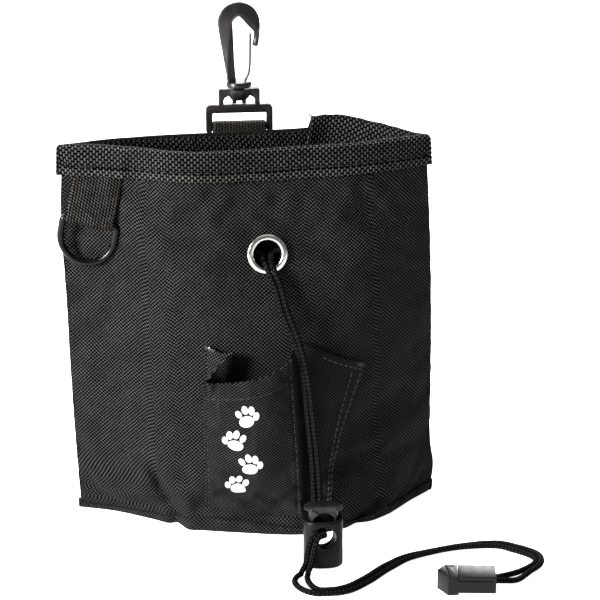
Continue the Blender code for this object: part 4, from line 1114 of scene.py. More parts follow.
def make_free_cord(start):
    """Out of the lock: the two strands hang, part on the ground and run together to the clip."""
    front = LOCK_LOW.y
    out = front - 0.0006
    entry = CLIP_FRAME @ Vector((CLIP_LENGTH / 2 - 0.0030, 0, 0))
    shared = smooth_path([(x, y, CORD_LOW) for x, y in TOGETHER] + [(entry.x, entry.y, 0.0046)], CORD_SPACING)
    across = unit(np.cross((0, 0, 1), unit(np.gradient(shared, axis=0))))
    share = lengths(shared) / lengths(shared)[-1]
    cross = 0.85 * np.sin(2 * np.pi * share * 1.6 + 0.4) * (1 - smoothstep((share - 0.72) / 0.1))
    apart = np.sqrt(np.maximum(0.1, 1 - (0.6 * np.abs(cross)) ** 2)) * (1 + 1.3 * bell(share, 0.91, 0.05))
    for sign, letter, hang, lie in ((1, "a", HANG_A, LIE_A), (-1, "b", HANG_B, LIE_B)):
        drop = [(PASS_X + sign * STRAND_OFFSET, out, CORD_PASS_Z)]
        drop += [(LOCK.x + x, out + y, z) for x, y, z in hang]
        path = smooth_path(drop, CORD_SPACING)
        upright = tube(f"cord_drop_{letter}", path, CORD_R, CORD, 18, (0, -1, 0), start)
        bend(upright, ("cord_lock", "pouch"), (LOCK.x, front, CORD_PASS_Z),
             (LOCK.x - 0.008, front - 0.006, 0.002),
             "cord")
        line = shared + across * (STRAND_OFFSET * sign * apart)[:, None]
        line[:, 2] += np.maximum(0, cross * sign) * CORD_R * 0.8
        loose = [(x, y, CORD_LOW + 0.0003) for x, y in (drop[-1][:2],) + lie] + list(line[4:8])
        whole = resample(np.vstack([smooth_path(loose, CORD_SPACING)[:-1], line[8:]]), CORD_SPACING)
        radius = CORD_R * (1 + 0.03 * wobble(np.linspace(0, 6, len(whole)), 51 + sign))
        lying = tube(f"cord_tail_{letter}", whole, radius, CORD, 18, start=start + lengths(path)[-1])
        put(lying, "pouch", "cord")
        if sign > 0:
            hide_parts("drawcord_drop")
            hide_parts("drawcord_tail")


# ---------------------------------------------------------------- cord end clip
def make_clip():
    """The clip: a hollow base with a blunt wedge nose, and a lid flush with its top."""
    half, depth, over = CLIP_LENGTH / 2, CLIP_DEPTH / 2, 0.002
    notch, top, inner = LID_START - half, CLIP_HEIGHT + over, depth - 0.0014
    right, whole = half + over, (-depth - over, depth + over)
    plan = [(-half, 0.0006), (-half + 0.0044, -depth - 0.0004), (notch, -depth), (half, -depth),
            (half, depth),
            (-half + 0.0032, depth)]
    base = block("clip_base", CLIP_FRAME, plan, 0.0, CLIP_HEIGHT, CLIP_PLASTIC)
    slit = CLIP_FRAME @ Matrix.Translation((notch - 0.0024, depth - 0.0016, 0)) @ Matrix.Rotation(0.5, 4, "Z")
    seam = CLIP_FRAME @ Matrix.Translation((-half + 0.0040, 0, 0)) @ Matrix.Rotation(0.14, 4, "Z")
    for place, x, y, z in (
            (CLIP_FRAME, (notch + 0.0003, right), whole, (-over, 0.0010)),
            (CLIP_FRAME, (notch, right), whole, (CLIP_HEIGHT - LID_T - GAP, top)),
            (CLIP_FRAME, (notch + 0.0020, half - 0.0022), (-inner, inner), (0.0022, top)),
            (CLIP_FRAME, (half - 0.0040, right), (-0.0040, 0.0040), (0.0024, top)),
            (slit, (-0.0010, 0.0010), (-0.0003, 0.0003), (CLIP_HEIGHT - 0.0010, top)),
            (seam, (-0.00012, 0.00012), whole, (CLIP_HEIGHT - 0.0004, top))):
        cut(base, box(place, x, y, z))
    soften(base, 0.0003)
    put(base, "pouch", "clip_plastic", "cord_end_base")
    lid = box(CLIP_FRAME, (notch + GAP, half), (-depth, depth), (CLIP_HEIGHT - LID_T, CLIP_HEIGHT))
    lid.name = lid.data.name = "clip_lid"
    soften(lid, 0.0003)
    put(lid, "end_lid", "clip_plastic", "cord_end_lid")


# ---------------------------------------------------------------- cord lock
LOCK_FRAME = Matrix.Translation(LOCK)
LOCK_WALL = 0.0018
HOLE_Z = 0.0131
HOLE_LEAN = -0.0056
HOLE_R = 0.0051


def oval_stack(name, sections, mat):
    """A form through rounded oblongs of (width, depth, z), upright in the lock."""
    angle = np.linspace(0, 2 * np.pi, 72, endpoint=False)
    x, y = [np.sign(wave) * np.abs(wave) ** (2 / 2.7) / 2 for wave in (np.cos(angle), np.sin(angle))]
    points = [np.stack([width * x, depth * y, np.full_like(x, z)], -1) for width, depth, z in sections]
    return grid_object(name, placed(points, LOCK_FRAME), mat, wrap_cols=True, caps=True, smooth_angle=40)


def bore(low, high, radius):
    """A cutter through the lock along Y: a slot from low to high with round ends, leaning with the cord."""
    outline = arc((0, high - radius), radius, 0, 180, 20) + arc((0, low + radius), radius, 180, 360, 20)
    points = [[(x, y, z + HOLE_LEAN * y / 0.02) for x, z in outline[:-1]] for y in (-0.02, 0.02)]
    return grid_object("bore", placed(points, LOCK_FRAME), LOCK_PLASTIC, wrap_cols=True, caps=True)


def make_barrel():
    """The lock's outer part: a rounded tub, open at the top, with the cord's hole across it."""
    width, depth, top = LOCK_WIDTH, LOCK_DEPTH, LOCK_HEIGHT
    sections = []
    for angle in np.linspace(0, math.pi / 2, 6):
        shrink = 0.0030 * (1 - math.sin(angle))
        sections.append((width - shrink, depth - shrink, 0.0014 * (1 - math.cos(angle))))
    sections += [(width, depth, z) for z in np.linspace(0.0030, top - 0.0006, 8)]
    sections += [(width - less, depth - less, z) for less, z in (
        (0.0004, top - 0.0002), (0.0010, top), (2 * LOCK_WALL - 0.0004, top), (2 * LOCK_WALL, top - 0.0002),
        (2 * LOCK_WALL, 0.0015))]
    barrel = oval_stack("lock_barrel", sections, LOCK_PLASTIC)
    cut(barrel, bore(HOLE_Z - HOLE_R, HOLE_Z + HOLE_R, HOLE_R))
    soften(barrel, 0.0003)
    put(barrel, "cord_lock", "lock_plastic", "cord_lock_barrel")


def make_plunger():
    """The button: a thin winged cap and a smiling thumb recess on an oblong body."""
    low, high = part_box("cord_lock_plunger")
    body_w, body_d = LOCK_WIDTH - 2 * LOCK_WALL - 0.0006, LOCK_DEPTH - 2 * LOCK_WALL - 0.0006
    wing_w, wing_d = LOCK_WIDTH - 0.0002, LOCK_DEPTH - 0.0030
    cap = high.z - 0.0020
    sections = [(body_w - 0.0006, body_d - 0.0006, low.z), (body_w, body_d, low.z + 0.0004),
                (body_w, body_d, cap + 0.0001)]
    sections += [(wing_w - narrow, wing_d - shallow, cap + up) for narrow, shallow, up in (
        (0.0010, 0.0006, 0.0002), (0, 0, 0.0006), (0, 0, 0.0009), (0.0012, 0.0006, 0.0014),
        (0.0040, 0.0030, 0.0018), (0.0090, 0.0070, 0.0020))]
    plunger = oval_stack("lock_plunger", sections, BUTTON_PLASTIC)
    cut(plunger, bore(HOLE_Z - HOLE_R, 0.0244, HOLE_R + 0.0001))
    recess = arc((0, cap + 0.0042), 0.0058, 200, 340, 24)
    cut(plunger, plate("thumb", recess, -0.0200, -body_d / 2 + 0.0012, LOCK_FRAME, BUTTON_PLASTIC))
    soften(plunger, 0.00025)
    put(plunger, "lock_button", "lock_plastic", "cord_lock_plunger")


# ---------------------------------------------------------------- front pocket
POCKET_LEFT = (-0.0254, -0.0265)
POCKET_WIDTH = (0.0420, 0.0390)
POCKET_Z = (0.0125, 0.0750)
POCKET_T = 0.0012
BELLOWS_T = 0.0009


def pocket_grid():
    """The pocket's face, as far as it stands off the wall, after it has sagged."""
    u, w = np.meshgrid(np.linspace(0, 1, 25), np.linspace(0, 1, 37))
    x = mix(*POCKET_LEFT, w) + u * mix(*POCKET_WIDTH, w)
    pull = u ** 3.6
    z = mix(POCKET_Z[0] - 0.0030 * u, POCKET_Z[1] + 0.0020 * u + 0.0070 * pull, w)
    stand = 0.0040 + 0.0130 * w ** 0.85 + 0.0030 * np.sin(np.pi * w) - 0.0060 * pull * w
    rest = front_at(x, z, stand)
    pins = smoothstep((0.10 - w) / 0.06) + smoothstep((0.06 - u) / 0.05) + smoothstep((u - 0.94) / 0.05)
    return drape(rest, np.clip(pins, 0, 1), False, 0.011, 0.9, 0.3, 0.0018)


def refine(points, factor):
    """A smooth finer grid through a coarse one."""
    for _ in range(2):
        count = len(points)
        places = np.linspace(0, count - 1, (count - 1) * factor + 1)
        fine = cubic(points.reshape(count, -1), np.minimum(places, count - 1 - 1e-9))
        points = fine.reshape(len(places), -1, 3).transpose(1, 0, 2)
    return points


def make_pocket():
    """The pocket's face: cloth with its side edges turned back and a hem along the mouth."""
    face = refine(pocket_grid(), 3)
    rows, cols = face.shape[:2]
    u, w = np.linspace(0, 1, cols)[None, :], np.linspace(0, 1, rows)[:, None]
    hem = 0.0007 * smoothstep((w - 0.885) / 0.01) * (1 - 0.35 * bell(w, 0.893, 0.006))
    seam = -0.0005 * (bell(u, 0.035, 0.012) + bell(u, 0.965, 0.012))
    wrinkle = 0.00035 * np.sin(9 * u + 14 * w + 3) * np.sin(np.pi * u)
    wrinkle = wrinkle * smoothstep((0.5 - np.abs(w - 0.5)) / 0.3)
    face[..., 1] -= hem + seam + wrinkle
    put(cloth_sheet("pocket_face", face, POCKET_T, POCKET_CLOTH), "pocket", "pocket_fabric", "pocket_front")
    for name, path in (("pocket_hem_seam", face[int(0.895 * (rows - 1))]),
                       ("pocket_left_seam", face[2:-3, 2]),
                       ("pocket_right_seam", face[2:-3, cols - 3])):
        sew(name, path, "pocket", "pocket_fabric", 0.0024, 0.0007, 0.00018)
    return face


def left_bellows_row(edge, w):
    """One row of the left gusset, which folds inwards: from the wall round its fold to the face."""
    z_wall = mix(POCKET_Z[0], 0.0862, w)
    wall = front_at(mix(POCKET_LEFT[0], -0.0245, w) + 0.0010, z_wall, 0.0007)
    peak = smoothstep((w - 0.86) / 0.14)
    x = edge[0] + mix(0.0030, 0.0124, w ** 1.3)
    z = mix(edge[2], z_wall, 0.72) + 0.0018 * peak
    fold = np.array([x, mix(edge[1], front_at(x, z)[1], 0.62), z])
    inner = edge + (0.0006, POCKET_T + 0.0002, -0.0002)
    bends = [fold + np.array(shift) * w for shift in (
        (-0.0014, 0.0014, 0.0), (0.0010, 0.0, 0.0004), (-0.0010, -0.0018, -0.0002))]
    row = [wall, mix(wall, fold, 0.55) + (0, -0.0008 * w, -0.0008 * peak)] + bends
    row += [mix(fold, inner, 0.55) + (-0.0006, 0.0008 * w, 0), inner]
    return resample(smooth_path(row, 0.0003), count=30)


# The seam of the spread gusset on the wall: share of its height, X and Z.
WEDGE_SEAM = ((0.0, 0.0303, 0.0100), (0.12, 0.0306, 0.0190), (0.3, 0.0322, 0.0320), (0.55, 0.0360, 0.0460),
              (0.8, 0.0424, 0.0620), (1.0, 0.0478, 0.0735))


def right_bellows_row(edge, w):
    """One row of the right gusset, which lies spread on the wall: from its seam to the face."""
    place, seam_x, seam_z = np.array(WEDGE_SEAM).T
    foot_z = mix(POCKET_Z[0] - 0.0030, 0.0880, w)
    share = np.linspace(0, 1, 22)
    xs = mix(np.interp(w, place, seam_x), edge[0] + 0.0056, share)
    zs = mix(np.interp(w, place, seam_z), foot_z, share)
    puff = 0.0012 + 0.0026 * np.sin(np.pi * share) ** 0.8 * (0.25 + 0.75 * w) + 0.0016 * share ** 3
    on_wall = front_at(xs, zs, puff)
    inner = edge + (-0.0006, POCKET_T + 0.0002, 0.0)
    recess = front_at(edge[0] + 0.0024, mix(foot_z, edge[2], 0.4), 0.0013)
    turn = [on_wall[-1], mix(on_wall[-1], recess, 0.6) + (0, 0.0006, 0), recess,
            mix(recess, inner, 0.5) + (0.0004, 0, 0), inner]
    return np.vstack([on_wall, resample(smooth_path(turn, 0.0003), count=22)[1:]])


def make_bellows(face):
    """The pocket's side gussets, their seams on the wall and the bar tacks at their tops."""
    rows = face.shape[0]
    heights = [(k, k / (rows - 1)) for k in range(0, rows, 2)]
    left = np.stack([left_bellows_row(face[k, 0], w) for k, w in heights])
    right = np.stack([right_bellows_row(face[k, -1], w) for k, w in heights])
    for name, sheet, mat, node, wall_x, edge in (
            ("pocket_bellows_left", left, OUTER, "pocket_gusset_left", -0.0245, face[rows // 2, 0]),
            ("pocket_bellows_right", right[:, ::-1], POCKET_CLOTH, "pocket_gusset_right", 0.020,
             face[rows // 2, -1])):
        bend(cloth_sheet(name, sheet, BELLOWS_T, mat), ("pouch", "pocket"), front_at(wall_x, 0.05, 0.0020),
             edge + (0, POCKET_T, 0), "pocket_fabric", node)
    for name, path in (("wedge_seam_side", right[1:-1, 1]), ("wedge_seam_inner", right[1:-1, 4]),
                       ("wedge_seam_top", right[-3, 1:18])):
        sew(name, path, "pouch", "pocket_fabric", 0.0020, 0.0008, 0.00028, LIGHTER_THREAD)
    top, corner = right[-1], left[-1, 0]
    tack("wedge_bar_tack", top[9] + (0, 0, -0.0010), top[2] + (0.0010, 0, -0.0010), 0.0018, 16)
    tack("bellows_bar_tack", corner + (-0.0008, 0, 0.0004), corner + (0.0050, 0, -0.0022), 0.0014, 12)
    end = corner + (0.0010, -0.0024, -0.0002)
    loose = [end + (0.0012, 0.0012, -0.0016), end, end + (-0.0004, -0.0003, 0.0005),
             end + (0.0001, -0.0002, 0.0010)]
    put(tube("loose_yarn", smooth_path(loose, 0.0001), 0.00015, PALE_THREAD, 8), "pouch", "pocket_fabric")


def tack(name, start, end, width, passes):
    """A bar tack: close zigzag stitching between two points on the front."""
    t = np.linspace(0, 1, passes * 2 + 1)
    across = unit(np.cross(unit(end - start), (0, -1, 0)))
    zig = mix(start, end, t[:, None]) + across * (width / 2 * np.where(np.arange(len(t)) % 2, 1, -1))[:, None]
    zig[:, 1] = front_at(zig[:, 0], zig[:, 2])[:, 1] - 0.0024
    put(tube(name, resample(zig, 0.0002), 0.00018, LIGHTER_THREAD, 6), "pouch", "pocket_fabric")


def paw(centre, size, tilt):
    """A paw print: a pad and four toes, each an ellipse of centre, half axes and angle."""
    parts = [((0, -0.10), (0.34, 0.27), 0)]
    parts += [((side * x, y), (a, b), -side * angle) for side in (-1, 1)
              for x, y, a, b, angle in ((0.40, 0.20, 0.13, 0.19, 0.35), (0.15, 0.44, 0.14, 0.21, 0.1))]
    c, s = math.cos(tilt), math.sin(tilt)
    return [((centre[0] + size * (x * c - y * s), centre[1] + size * (x * s + y * c)),
             (a * size, b * size), angle - tilt) for (x, y), (a, b), angle in parts]


def make_print(face):
    """A column of paw prints up the pocket, in place of any lettering. Places are in metres on the
    face, from its lower left."""
    rows, cols = face.shape[:2]
    width = np.linalg.norm(face[rows // 2, -1] - face[rows // 2, 0])
    height = np.linalg.norm(face[-1, cols // 2] - face[0, cols // 2])
    normals = grid_normals(face)
    normals *= -np.sign(normals[rows // 2, cols // 2, 1])
    proud, rings, around = 0.00018, 7, 40

    def on_face(points, lift):
        r = np.clip(points[:, 1] / height, 0, 0.999) * (rows - 1)
        c = np.clip(points[:, 0] / width, 0, 0.999) * (cols - 1)
        i, j = r.astype(int), c.astype(int)
        s, t = (r - i)[:, None], (c - j)[:, None]
        here, way = [mix(mix(grid[i, j], grid[i, j + 1], t), mix(grid[i + 1, j], grid[i + 1, j + 1], t), s)
                     for grid in (face, normals)]
        return here + unit(way) * lift

    turn = np.linspace(0, 2 * np.pi, around, endpoint=False)
    verts, faces = [], []
    for k in range(4):
        side = 1 if k % 2 else -1
        middle = (0.0165 - 0.0003 * k + 0.0030 * side, 0.0150 + 0.0114 * k)
        for centre, axes, angle in paw(middle, 0.0098, math.radians(-10 * side)):
            first = len(verts)
            spin = np.array([[math.cos(angle), math.sin(angle)], [-math.sin(angle), math.cos(angle)]])
            for step in range(1, rings + 1):
                size = min(1.0, step / (rings - 1))
                flat = np.stack([axes[0] * size * np.cos(turn), axes[1] * size * np.sin(turn)], -1) @ spin
                verts += on_face(flat + centre, proud if step < rings else -0.00002).tolist()
            faces += [[len(verts), first + j, first + (j + 1) % around] for j in range(around)]
            verts += on_face(np.array([centre]), proud).tolist()
            faces += (first + cell_faces(rings, around, wrap_cols=True)[:, [0, 3, 2, 1]]).tolist()
    put(finished(new_mesh("pocket_print", verts, faces), INK, 80), "pocket", "pocket_fabric")


# ---------------------------------------------------------------- D-ring and its tab
TAB_WIDTH = 0.0198
RING_R = 0.0015
RING_HALF = 0.0120
RING_STRAIGHT = 0.0070
TAB_PIVOT, RING_BAR = [Vector(joint(name)["pos_m"]) for name in ("tab_lift", "ring_swing")]


def tab_frame(point):
    """A frame at a point whose local X runs along the ring's bar and whose Z runs up the tab."""
    x = -Vector(joint("tab_lift")["axis"]).normalized()
    z = (Vector((0, 0, 1)) - x * x.z).normalized()
    return Matrix.Translation(point) @ Matrix((x, z.cross(x), z)).transposed().to_4x4()


def webbing_grid(path, spacing, width, columns):
    """A band of webbing along a (y, z) path, its width along X."""
    line = smooth_path([(0, y, z) for y, z in path], spacing)
    across = np.linspace(-1, 1, columns)
    return across, np.stack([line + np.array([width / 2 * a, 0, 0]) for a in across], 1)


def make_tab():
    """Webbing folded round the ring's bar, both ends tucked under the rim tape."""
    place = tab_frame(TAB_PIVOT)
    centre = place.inverted() @ RING_BAR
    fold = RING_R + 0.0002 + WEB_T / 2
    back = centre.y + fold
    under = back - WEB_T
    path = [(back + 0.0010, 0.0065), (back + 0.0008, 0.003), (back + 0.0002, -0.004),
            (back, centre.z + 0.003)]
    path += arc((centre.y, centre.z), fold, 0, -180, 7)
    path += [(centre.y - fold + 0.0004, centre.z + 0.0035), (under - 0.0009, -0.0085),
             (under - 0.0002, -0.0030), (under + 0.0007, 0.003), (under + 0.0009, 0.0065)]
    across, grid = webbing_grid(path, 0.0004, TAB_WIDTH, 41)
    share = np.linspace(0, 1, len(grid))[:, None]
    grid[..., 1] += 0.00018 * np.sin(across * 7 + 1)[None] * np.sin(share * 9)
    grid[..., 0] += 0.00020 * wobble(share * 4, 61) * np.sign(across)[None] * (np.abs(across)[None] > 0.97)
    sheet = cloth_sheet("ring_tab_webbing", placed(grid, place), WEB_T, WEBBING, rim=0.5)
    up = place.to_3x3() @ Vector((0, 0, 1))
    bend(sheet, ("pouch", "ring_tab"), TAB_PIVOT + up * 0.0030, TAB_PIVOT - up * 0.0060, "webbing",
         "d_ring_tab")


def dense(outline, spacing):
    """A closed outline with extra points along its straight sides."""
    outline = np.asarray(outline, float)
    points = []
    for a, b in zip(outline, np.roll(outline, -1, 0)):
        count = max(1, int(np.linalg.norm(b - a) / spacing))
        points += [a + (b - a) * k / count for k in range(count)]
    return np.array(points)


def make_ring():
    """The D-ring: round wire along a D whose bar lies in the tab's fold."""
    place = tab_frame(RING_BAR)
    corner = 0.0019
    flat = arc((RING_HALF - corner, -corner), corner, 90, 0, 7)
    flat += arc((0, -RING_STRAIGHT), RING_HALF, 0, -180, 40)
    flat += arc((-RING_HALF + corner, -corner), corner, 180, 90, 7)
    path = placed([(x, 0, z) for x, z in dense(flat, 0.0006)], place)
    across = np.array(place.to_3x3() @ Vector((0, 1, 0)))
    inward = np.cross(unit(np.roll(path, -1, 0) - np.roll(path, 1, 0)), across)
    points = rings_round(path, RING_R, across, inward, 20)
    piece = grid_object("ring", points, RING_PLASTIC, wrap_rows=True, wrap_cols=True, smooth_angle=80)
    put(piece, "ring", "ring_plastic", "d_ring")


# ---------------------------------------------------------------- swivel hook and strap
SWIVEL = Vector(joint("hook_swivel")["pos_m"])
HOOK_FRAME = Matrix.Translation((SWIVEL.x, SWIVEL.y, 0))
FRAME_LOW, FRAME_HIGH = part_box("hook_base")
BAR_TOP = 0.1724
COLLAR_TOP = 0.1929
HOUSING_TOP = SWIVEL.z


def filleted(corner_points, radius, steps=5):
    """A closed outline whose corners are rounded; radius may be one per corner."""
    corner_points = np.asarray(corner_points, float)
    radius = np.broadcast_to(radius, (len(corner_points),))
    points = []
    for k, corner in enumerate(corner_points):
        before, after = corner_points[k - 1], corner_points[(k + 1) % len(corner_points)]
        for s in np.linspace(0, 1, steps + 1):
            one = corner + unit(before - corner) * radius[k] * (1 - s)
            points.append(mix(one, corner + unit(after - corner) * radius[k] * s, s))
    return np.array(points)


def upright_plate(name, outline, half):
    """A flat form of the hook's plastic in its own frame, half as thick on each side."""
    return plate(name, outline, -half, half, HOOK_FRAME, HOOK_PLASTIC)


def turned(name, profile, steps=40):
    """A turned form of the hook's plastic on the swivel's axis."""
    return lathe(name, profile, HOOK_FRAME, HOOK_PLASTIC, steps, closed=False)


def make_hook_frame():
    """The moulded frame: strap slot below, housing posts and a flared boss above."""
    half = (FRAME_HIGH.x - FRAME_LOW.x) / 2
    low, shoulder, depth = FRAME_LOW.z, 0.1824, 0.0018
    foot, inside = low - 0.0009, 0.0125
    plan = filleted([(-half, foot), (-inside, foot), (-inside, low), (inside, low), (inside, foot),
                     (half, foot), (half, shoulder), (-half, shoulder)],
                    [0.0006, 0.0003, 0.0002, 0.0002, 0.0003, 0.0006, 0.0024, 0.0024])
    bars = upright_plate("hook_strap_frame", plan, depth)
    upper = filleted([(-0.0092, shoulder - 0.0012), (0.0092, shoulder - 0.0012), (0.0092, HOUSING_TOP),
                      (-0.0092, HOUSING_TOP)], [0.0002, 0.0002, 0.0009, 0.0009], 3)
    cut(bars, upright_plate("block", upper, depth + 0.0003), "UNION")
    arch = [(0.0071, 0.1826), (0.0071, 0.1846), (0.0064, 0.1858), (0.0050, 0.1866)]
    arch += [(-x, z) for x, z in reversed(arch)]
    cut(bars, upright_plate("window", arch, 0.01))
    slot = filleted([(-0.0122, BAR_TOP), (0.0122, BAR_TOP), (0.0122, 0.1787), (-0.0122, 0.1787)], 0.0005, 2)
    cut(bars, upright_plate("slot", slot, 0.01))
    for y, z in (((-0.0100, -0.0009), BAR_TOP + 0.0002), ((0.0009, 0.0100), BAR_TOP + 0.0002),
                 ((-0.0050, 0.0050), BAR_TOP - 0.0012)):
        cut(bars, box(HOOK_FRAME, (-0.0121, 0.0121), y, (low - 0.0010, z)))
    boss = [(0.0034, 0.1846), (0.0042, 0.1854), (0.0049, 0.1864), (0.0053, 0.1875),
            (0.0053, HOUSING_TOP - 0.0003), (0.0050, HOUSING_TOP)]
    cut(bars, turned("boss", boss), "UNION")
    cut(bars, turned("bore", [(0.0028, 0.1835), (0.0028, HOUSING_TOP + 0.002)]))
    soften(bars, 0.0004)
    put(bars, "hook_frame", "hook_plastic", "hook_base")


# The J as pairs of inner and outer edge points, and where the ridge lies between them.
HOOK_EDGES = (
    ((-0.0013, -0.0008), (-0.0052, -0.0008), 0.95), ((-0.0015, 0.0030), (-0.0056, 0.0030), 0.92),
    ((-0.0018, 0.0061), (-0.0061, 0.0061), 0.78), ((-0.0022, 0.0142), (-0.0074, 0.0142), 0.50),
    ((-0.00245, 0.0215), (-0.0086, 0.0215), 0.28), ((-0.00255, 0.0262), (-0.0091, 0.0272), 0.18),
    ((-0.0021, 0.0276), (-0.0077, 0.0314), 0.16), ((-0.0009, 0.0286), (-0.0045, 0.0343), 0.20),
    ((0.0002, 0.0291), (0.0002, 0.03555), 0.26), ((0.0016, 0.0281), (0.0046, 0.0344), 0.28),
    ((0.0037, 0.0256), (0.0075, 0.0320), 0.30), ((0.0056, 0.0236), (0.0091, 0.0288), 0.32),
    ((0.0068, 0.0222), (0.0096, 0.0254), 0.36), ((0.0068, 0.0198), (0.0093, 0.0208), 0.45),
    ((0.0062, 0.0176), (0.0089, 0.0172), 0.5), ((0.0062, 0.0161), (0.0084, 0.0156), 0.5))


def make_hook():
    """The J of the hook with a ridge along its faces, on a round collar with the split stud below."""
    steps = np.linspace(0, len(HOOK_EDGES) - 1, 90)
    inner, outer = [cubic(np.array([pair[k] for pair in HOOK_EDGES]), steps) for k in (0, 1)]
    ridge = np.interp(steps, range(len(HOOK_EDGES)), [pair[2] for pair in HOOK_EDGES])
    deep = np.minimum(0.0024, 0.62 * np.linalg.norm(outer - inner, axis=1))
    sheet = []
    for k, top in enumerate(ridge):
        crest = [(np.clip(top + off, 0.10, 0.90), d) for off, d in ((-0.04, 0.985), (0, 1.0), (0.04, 0.985))]
        front = []
        for s, d in [(0.0, 0.34), (0.07, 0.56)] + crest + [(0.93, 0.50), (1.0, 0.30)]:
            x, z = mix(inner[k], outer[k], s)
            front.append((x, -deep[k] * d, COLLAR_TOP + z))
        sheet.append(front + [(x, -y, z) for x, y, z in reversed(front)])
    made = [grid_object("hook_j", placed(sheet, HOOK_FRAME), HOOK_PLASTIC, wrap_cols=True, caps=True,
                        smooth_angle=24)]
    collar = [(0.0036, HOUSING_TOP + GAP), (0.0052, HOUSING_TOP + 2 * GAP), (0.0057, HOUSING_TOP + 0.0012),
              (0.0057, COLLAR_TOP - 0.0006), (0.0053, COLLAR_TOP), (0.0036, COLLAR_TOP + 0.0001)]
    made += [turned("collar", collar, 56), turned("neck", [(0.0024, 0.1857), (0.0024, HOUSING_TOP + 0.0006)])]
    barb = ((0.0038, 0.1866), (0.0036, 0.1856), (0.0031, 0.1842), (0.0030, 0.1829), (0.0014, 0.1829),
            (0.0012, 0.1842), (0.0009, 0.1856), (0.0008, 0.1866))
    for side in (-1, 1):
        made.append(upright_plate("leg", [(side * x, z) for x, z in barb], 0.0013))
        soften(made[-1], 0.0002)
    put(joined("hook_body_moulded", made), "hook", "hook_plastic", "hook_body")


def make_gate():
    """The thin spring tongue that closes the hook."""
    line = smooth_path([(0.0030, 0, 0.0003), (0.0043, 0, 0.0024), (0.0051, 0, 0.0052), (0.0054, 0, 0.0102),
                        (0.0055, 0, 0.0160), (0.0056, 0, 0.0216)], 0.0004)
    grid = np.stack([line + np.array([0, y, COLLAR_TOP]) for y in np.linspace(-0.0017, 0.0017, 9)], 1)
    sheet = cloth_sheet("hook_gate_tongue", placed(grid, HOOK_FRAME), 0.0008, HOOK_PLASTIC, rim=0.2)
    put(sheet, "gate", "hook_plastic", "hook_gate")


STRAP_WIDTH = 0.0228


def make_strap():
    """The webbing strap on the back: sewn down with a boxed cross, looped over the frame's bar."""
    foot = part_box("hook_strap")[0].z
    clear = 0.0025 + WEB_T / 2
    top = BAR_TOP + 0.0012
    zs = np.array([foot, 0.140, 0.1545])
    walls = [front_at(x, zs, side=BACK)[:, 1] for x in (SWIVEL.x + STRAP_WIDTH / 2, SWIVEL.x)]
    on_wall = np.maximum(*walls) + GAP + WEB_T / 2 - SWIVEL.y
    second = on_wall + WEB_T + GAP
    path = list(zip(on_wall, zs)) + [(-clear, 0.1605), (-clear, BAR_TOP - 0.0012)]
    path += [(-clear * math.cos(a), top + 0.0009 * math.sin(a)) for a in np.radians([30, 90, 150])]
    path += [(clear, BAR_TOP - 0.0012), (clear - 0.0002, 0.1660)] + list(zip(second[::-1], zs[::-1]))
    _, grid = webbing_grid(path, 0.0005, STRAP_WIDTH, 45)
    sheet = cloth_sheet("hook_strap_webbing", placed(grid, HOOK_FRAME), WEB_T, WEBBING, rim=0.5)
    put(sheet, "pouch", "webbing", "hook_strap")
    half, bottom, high = STRAP_WIDTH / 2 - 0.0025, foot + 0.003, 0.1530
    box_corners = [(-half, bottom), (half, bottom), (half, high), (-half, high), (-half, bottom),
                   (half, high), (-half, high), (half, bottom)]
    share = np.linspace(0, 1, 20, endpoint=False)[:, None]
    x, z = np.vstack([mix(np.array(a), np.array(b), share) for a, b in zip(box_corners, box_corners[1:])]).T
    face = np.interp(z, zs, second) + WEB_T / 2 + 0.0001
    sew("strap_box_stitch", placed(np.stack([x, face, z], -1), HOOK_FRAME), "pouch", "webbing", 0.0024,
        0.0007, 0.00022, out=(0, 1, 0))


def dress_spring():
    """The lock's spring stays as it is in the CAD, with a bright wire's finish."""
    spring = frame["nodes"]["cord_lock_spring"]
    spring.data.materials.clear()
    spring.data.materials.append(STEEL)


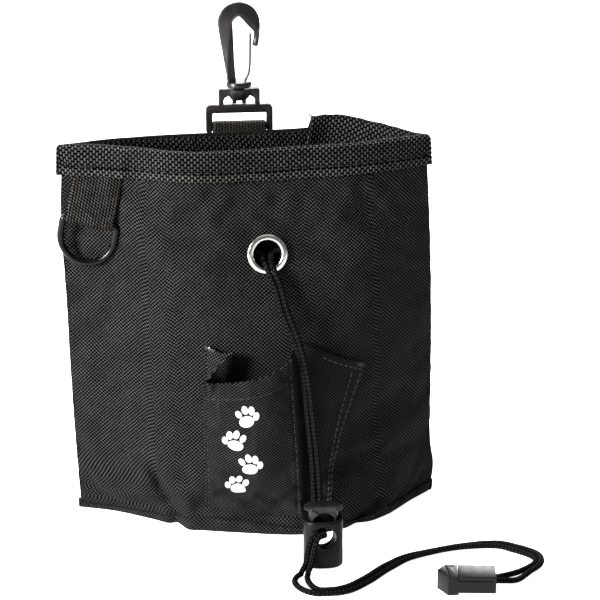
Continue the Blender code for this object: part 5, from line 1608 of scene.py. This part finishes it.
# ---------------------------------------------------------------- floor, light and camera
def make_stage():
    mesh = new_mesh("studio_floor", [(-8, -8, 0), (8, -8, 0), (8, 8, 0), (-8, 8, 0)], [(0, 1, 2, 3)])
    s = Shader("pale_floor")
    mesh.materials.append(s.set(s.mix_colour(s.noise(3.0, 2.0), grey(0.90), grey(0.93)), 0.6, 0.2))
    s.out.inputs["Emission Color"].default_value = (1, 1, 1, 1)
    seen = s.node("ShaderNodeLightPath").outputs["Is Camera Ray"]
    s.feed(s.out.inputs["Emission Strength"], s.ramp(seen, 0.0, 1.0, 0.20, 1.0, "LINEAR"))
    new_object("studio_floor", mesh)


def area_light(name, place, target, size, power):
    light = bpy.data.lights.new(name, "AREA")
    light.shape = "RECTANGLE"
    light.size, light.size_y = size
    light.energy = power
    obj = new_object(name, light)
    obj.location = place
    obj.rotation_euler = (Vector(target) - Vector(place)).to_track_quat("-Z", "Y").to_euler()


def make_lights():
    world = bpy.data.worlds.new("studio")
    world.use_nodes = True
    world.node_tree.nodes["Background"].inputs["Color"].default_value = (1, 1, 1, 1)
    world.node_tree.nodes["Background"].inputs["Strength"].default_value = 0.22
    bpy.context.scene.world = world
    middle = (0, 0, 0.09)
    area_light("key_left", (-1.9, -1.0, 0.75), middle, (0.8, 0.8), 200)
    area_light("overhead", (0.0, 0.25, 1.9), middle, (2.2, 2.2), 20)
    area_light("backdrop", (0.0, 2.6, 0.9), (0, 0, 0.3), (4.0, 1.8), 140)


def make_camera():
    camera = bpy.data.cameras.new("camera")
    camera.sensor_width = 36
    camera.lens = 124.2
    camera.clip_start = 0.05
    obj = new_object("camera", camera)
    obj.location = (-0.0795, -0.880, 0.399)
    obj.rotation_euler = (math.radians(90 - 18.85), 0, math.radians(-6.5))
    bpy.context.scene.camera = obj


for make in (make_wall_cloths, make_floor_cloths, make_rim_tape, make_overlap, make_base_strip, make_eyelet,
             make_channel, make_loop, make_cord, make_clip, make_barrel, make_plunger, dress_spring):
    make()
pocket_face = make_pocket()
make_bellows(pocket_face)
make_print(pocket_face)
for make in (make_tab, make_ring, make_hook_frame, make_hook, make_gate, make_strap, make_stage, make_lights,
             make_camera):
    make()
bpy.context.scene.view_settings.view_transform = "Standard"
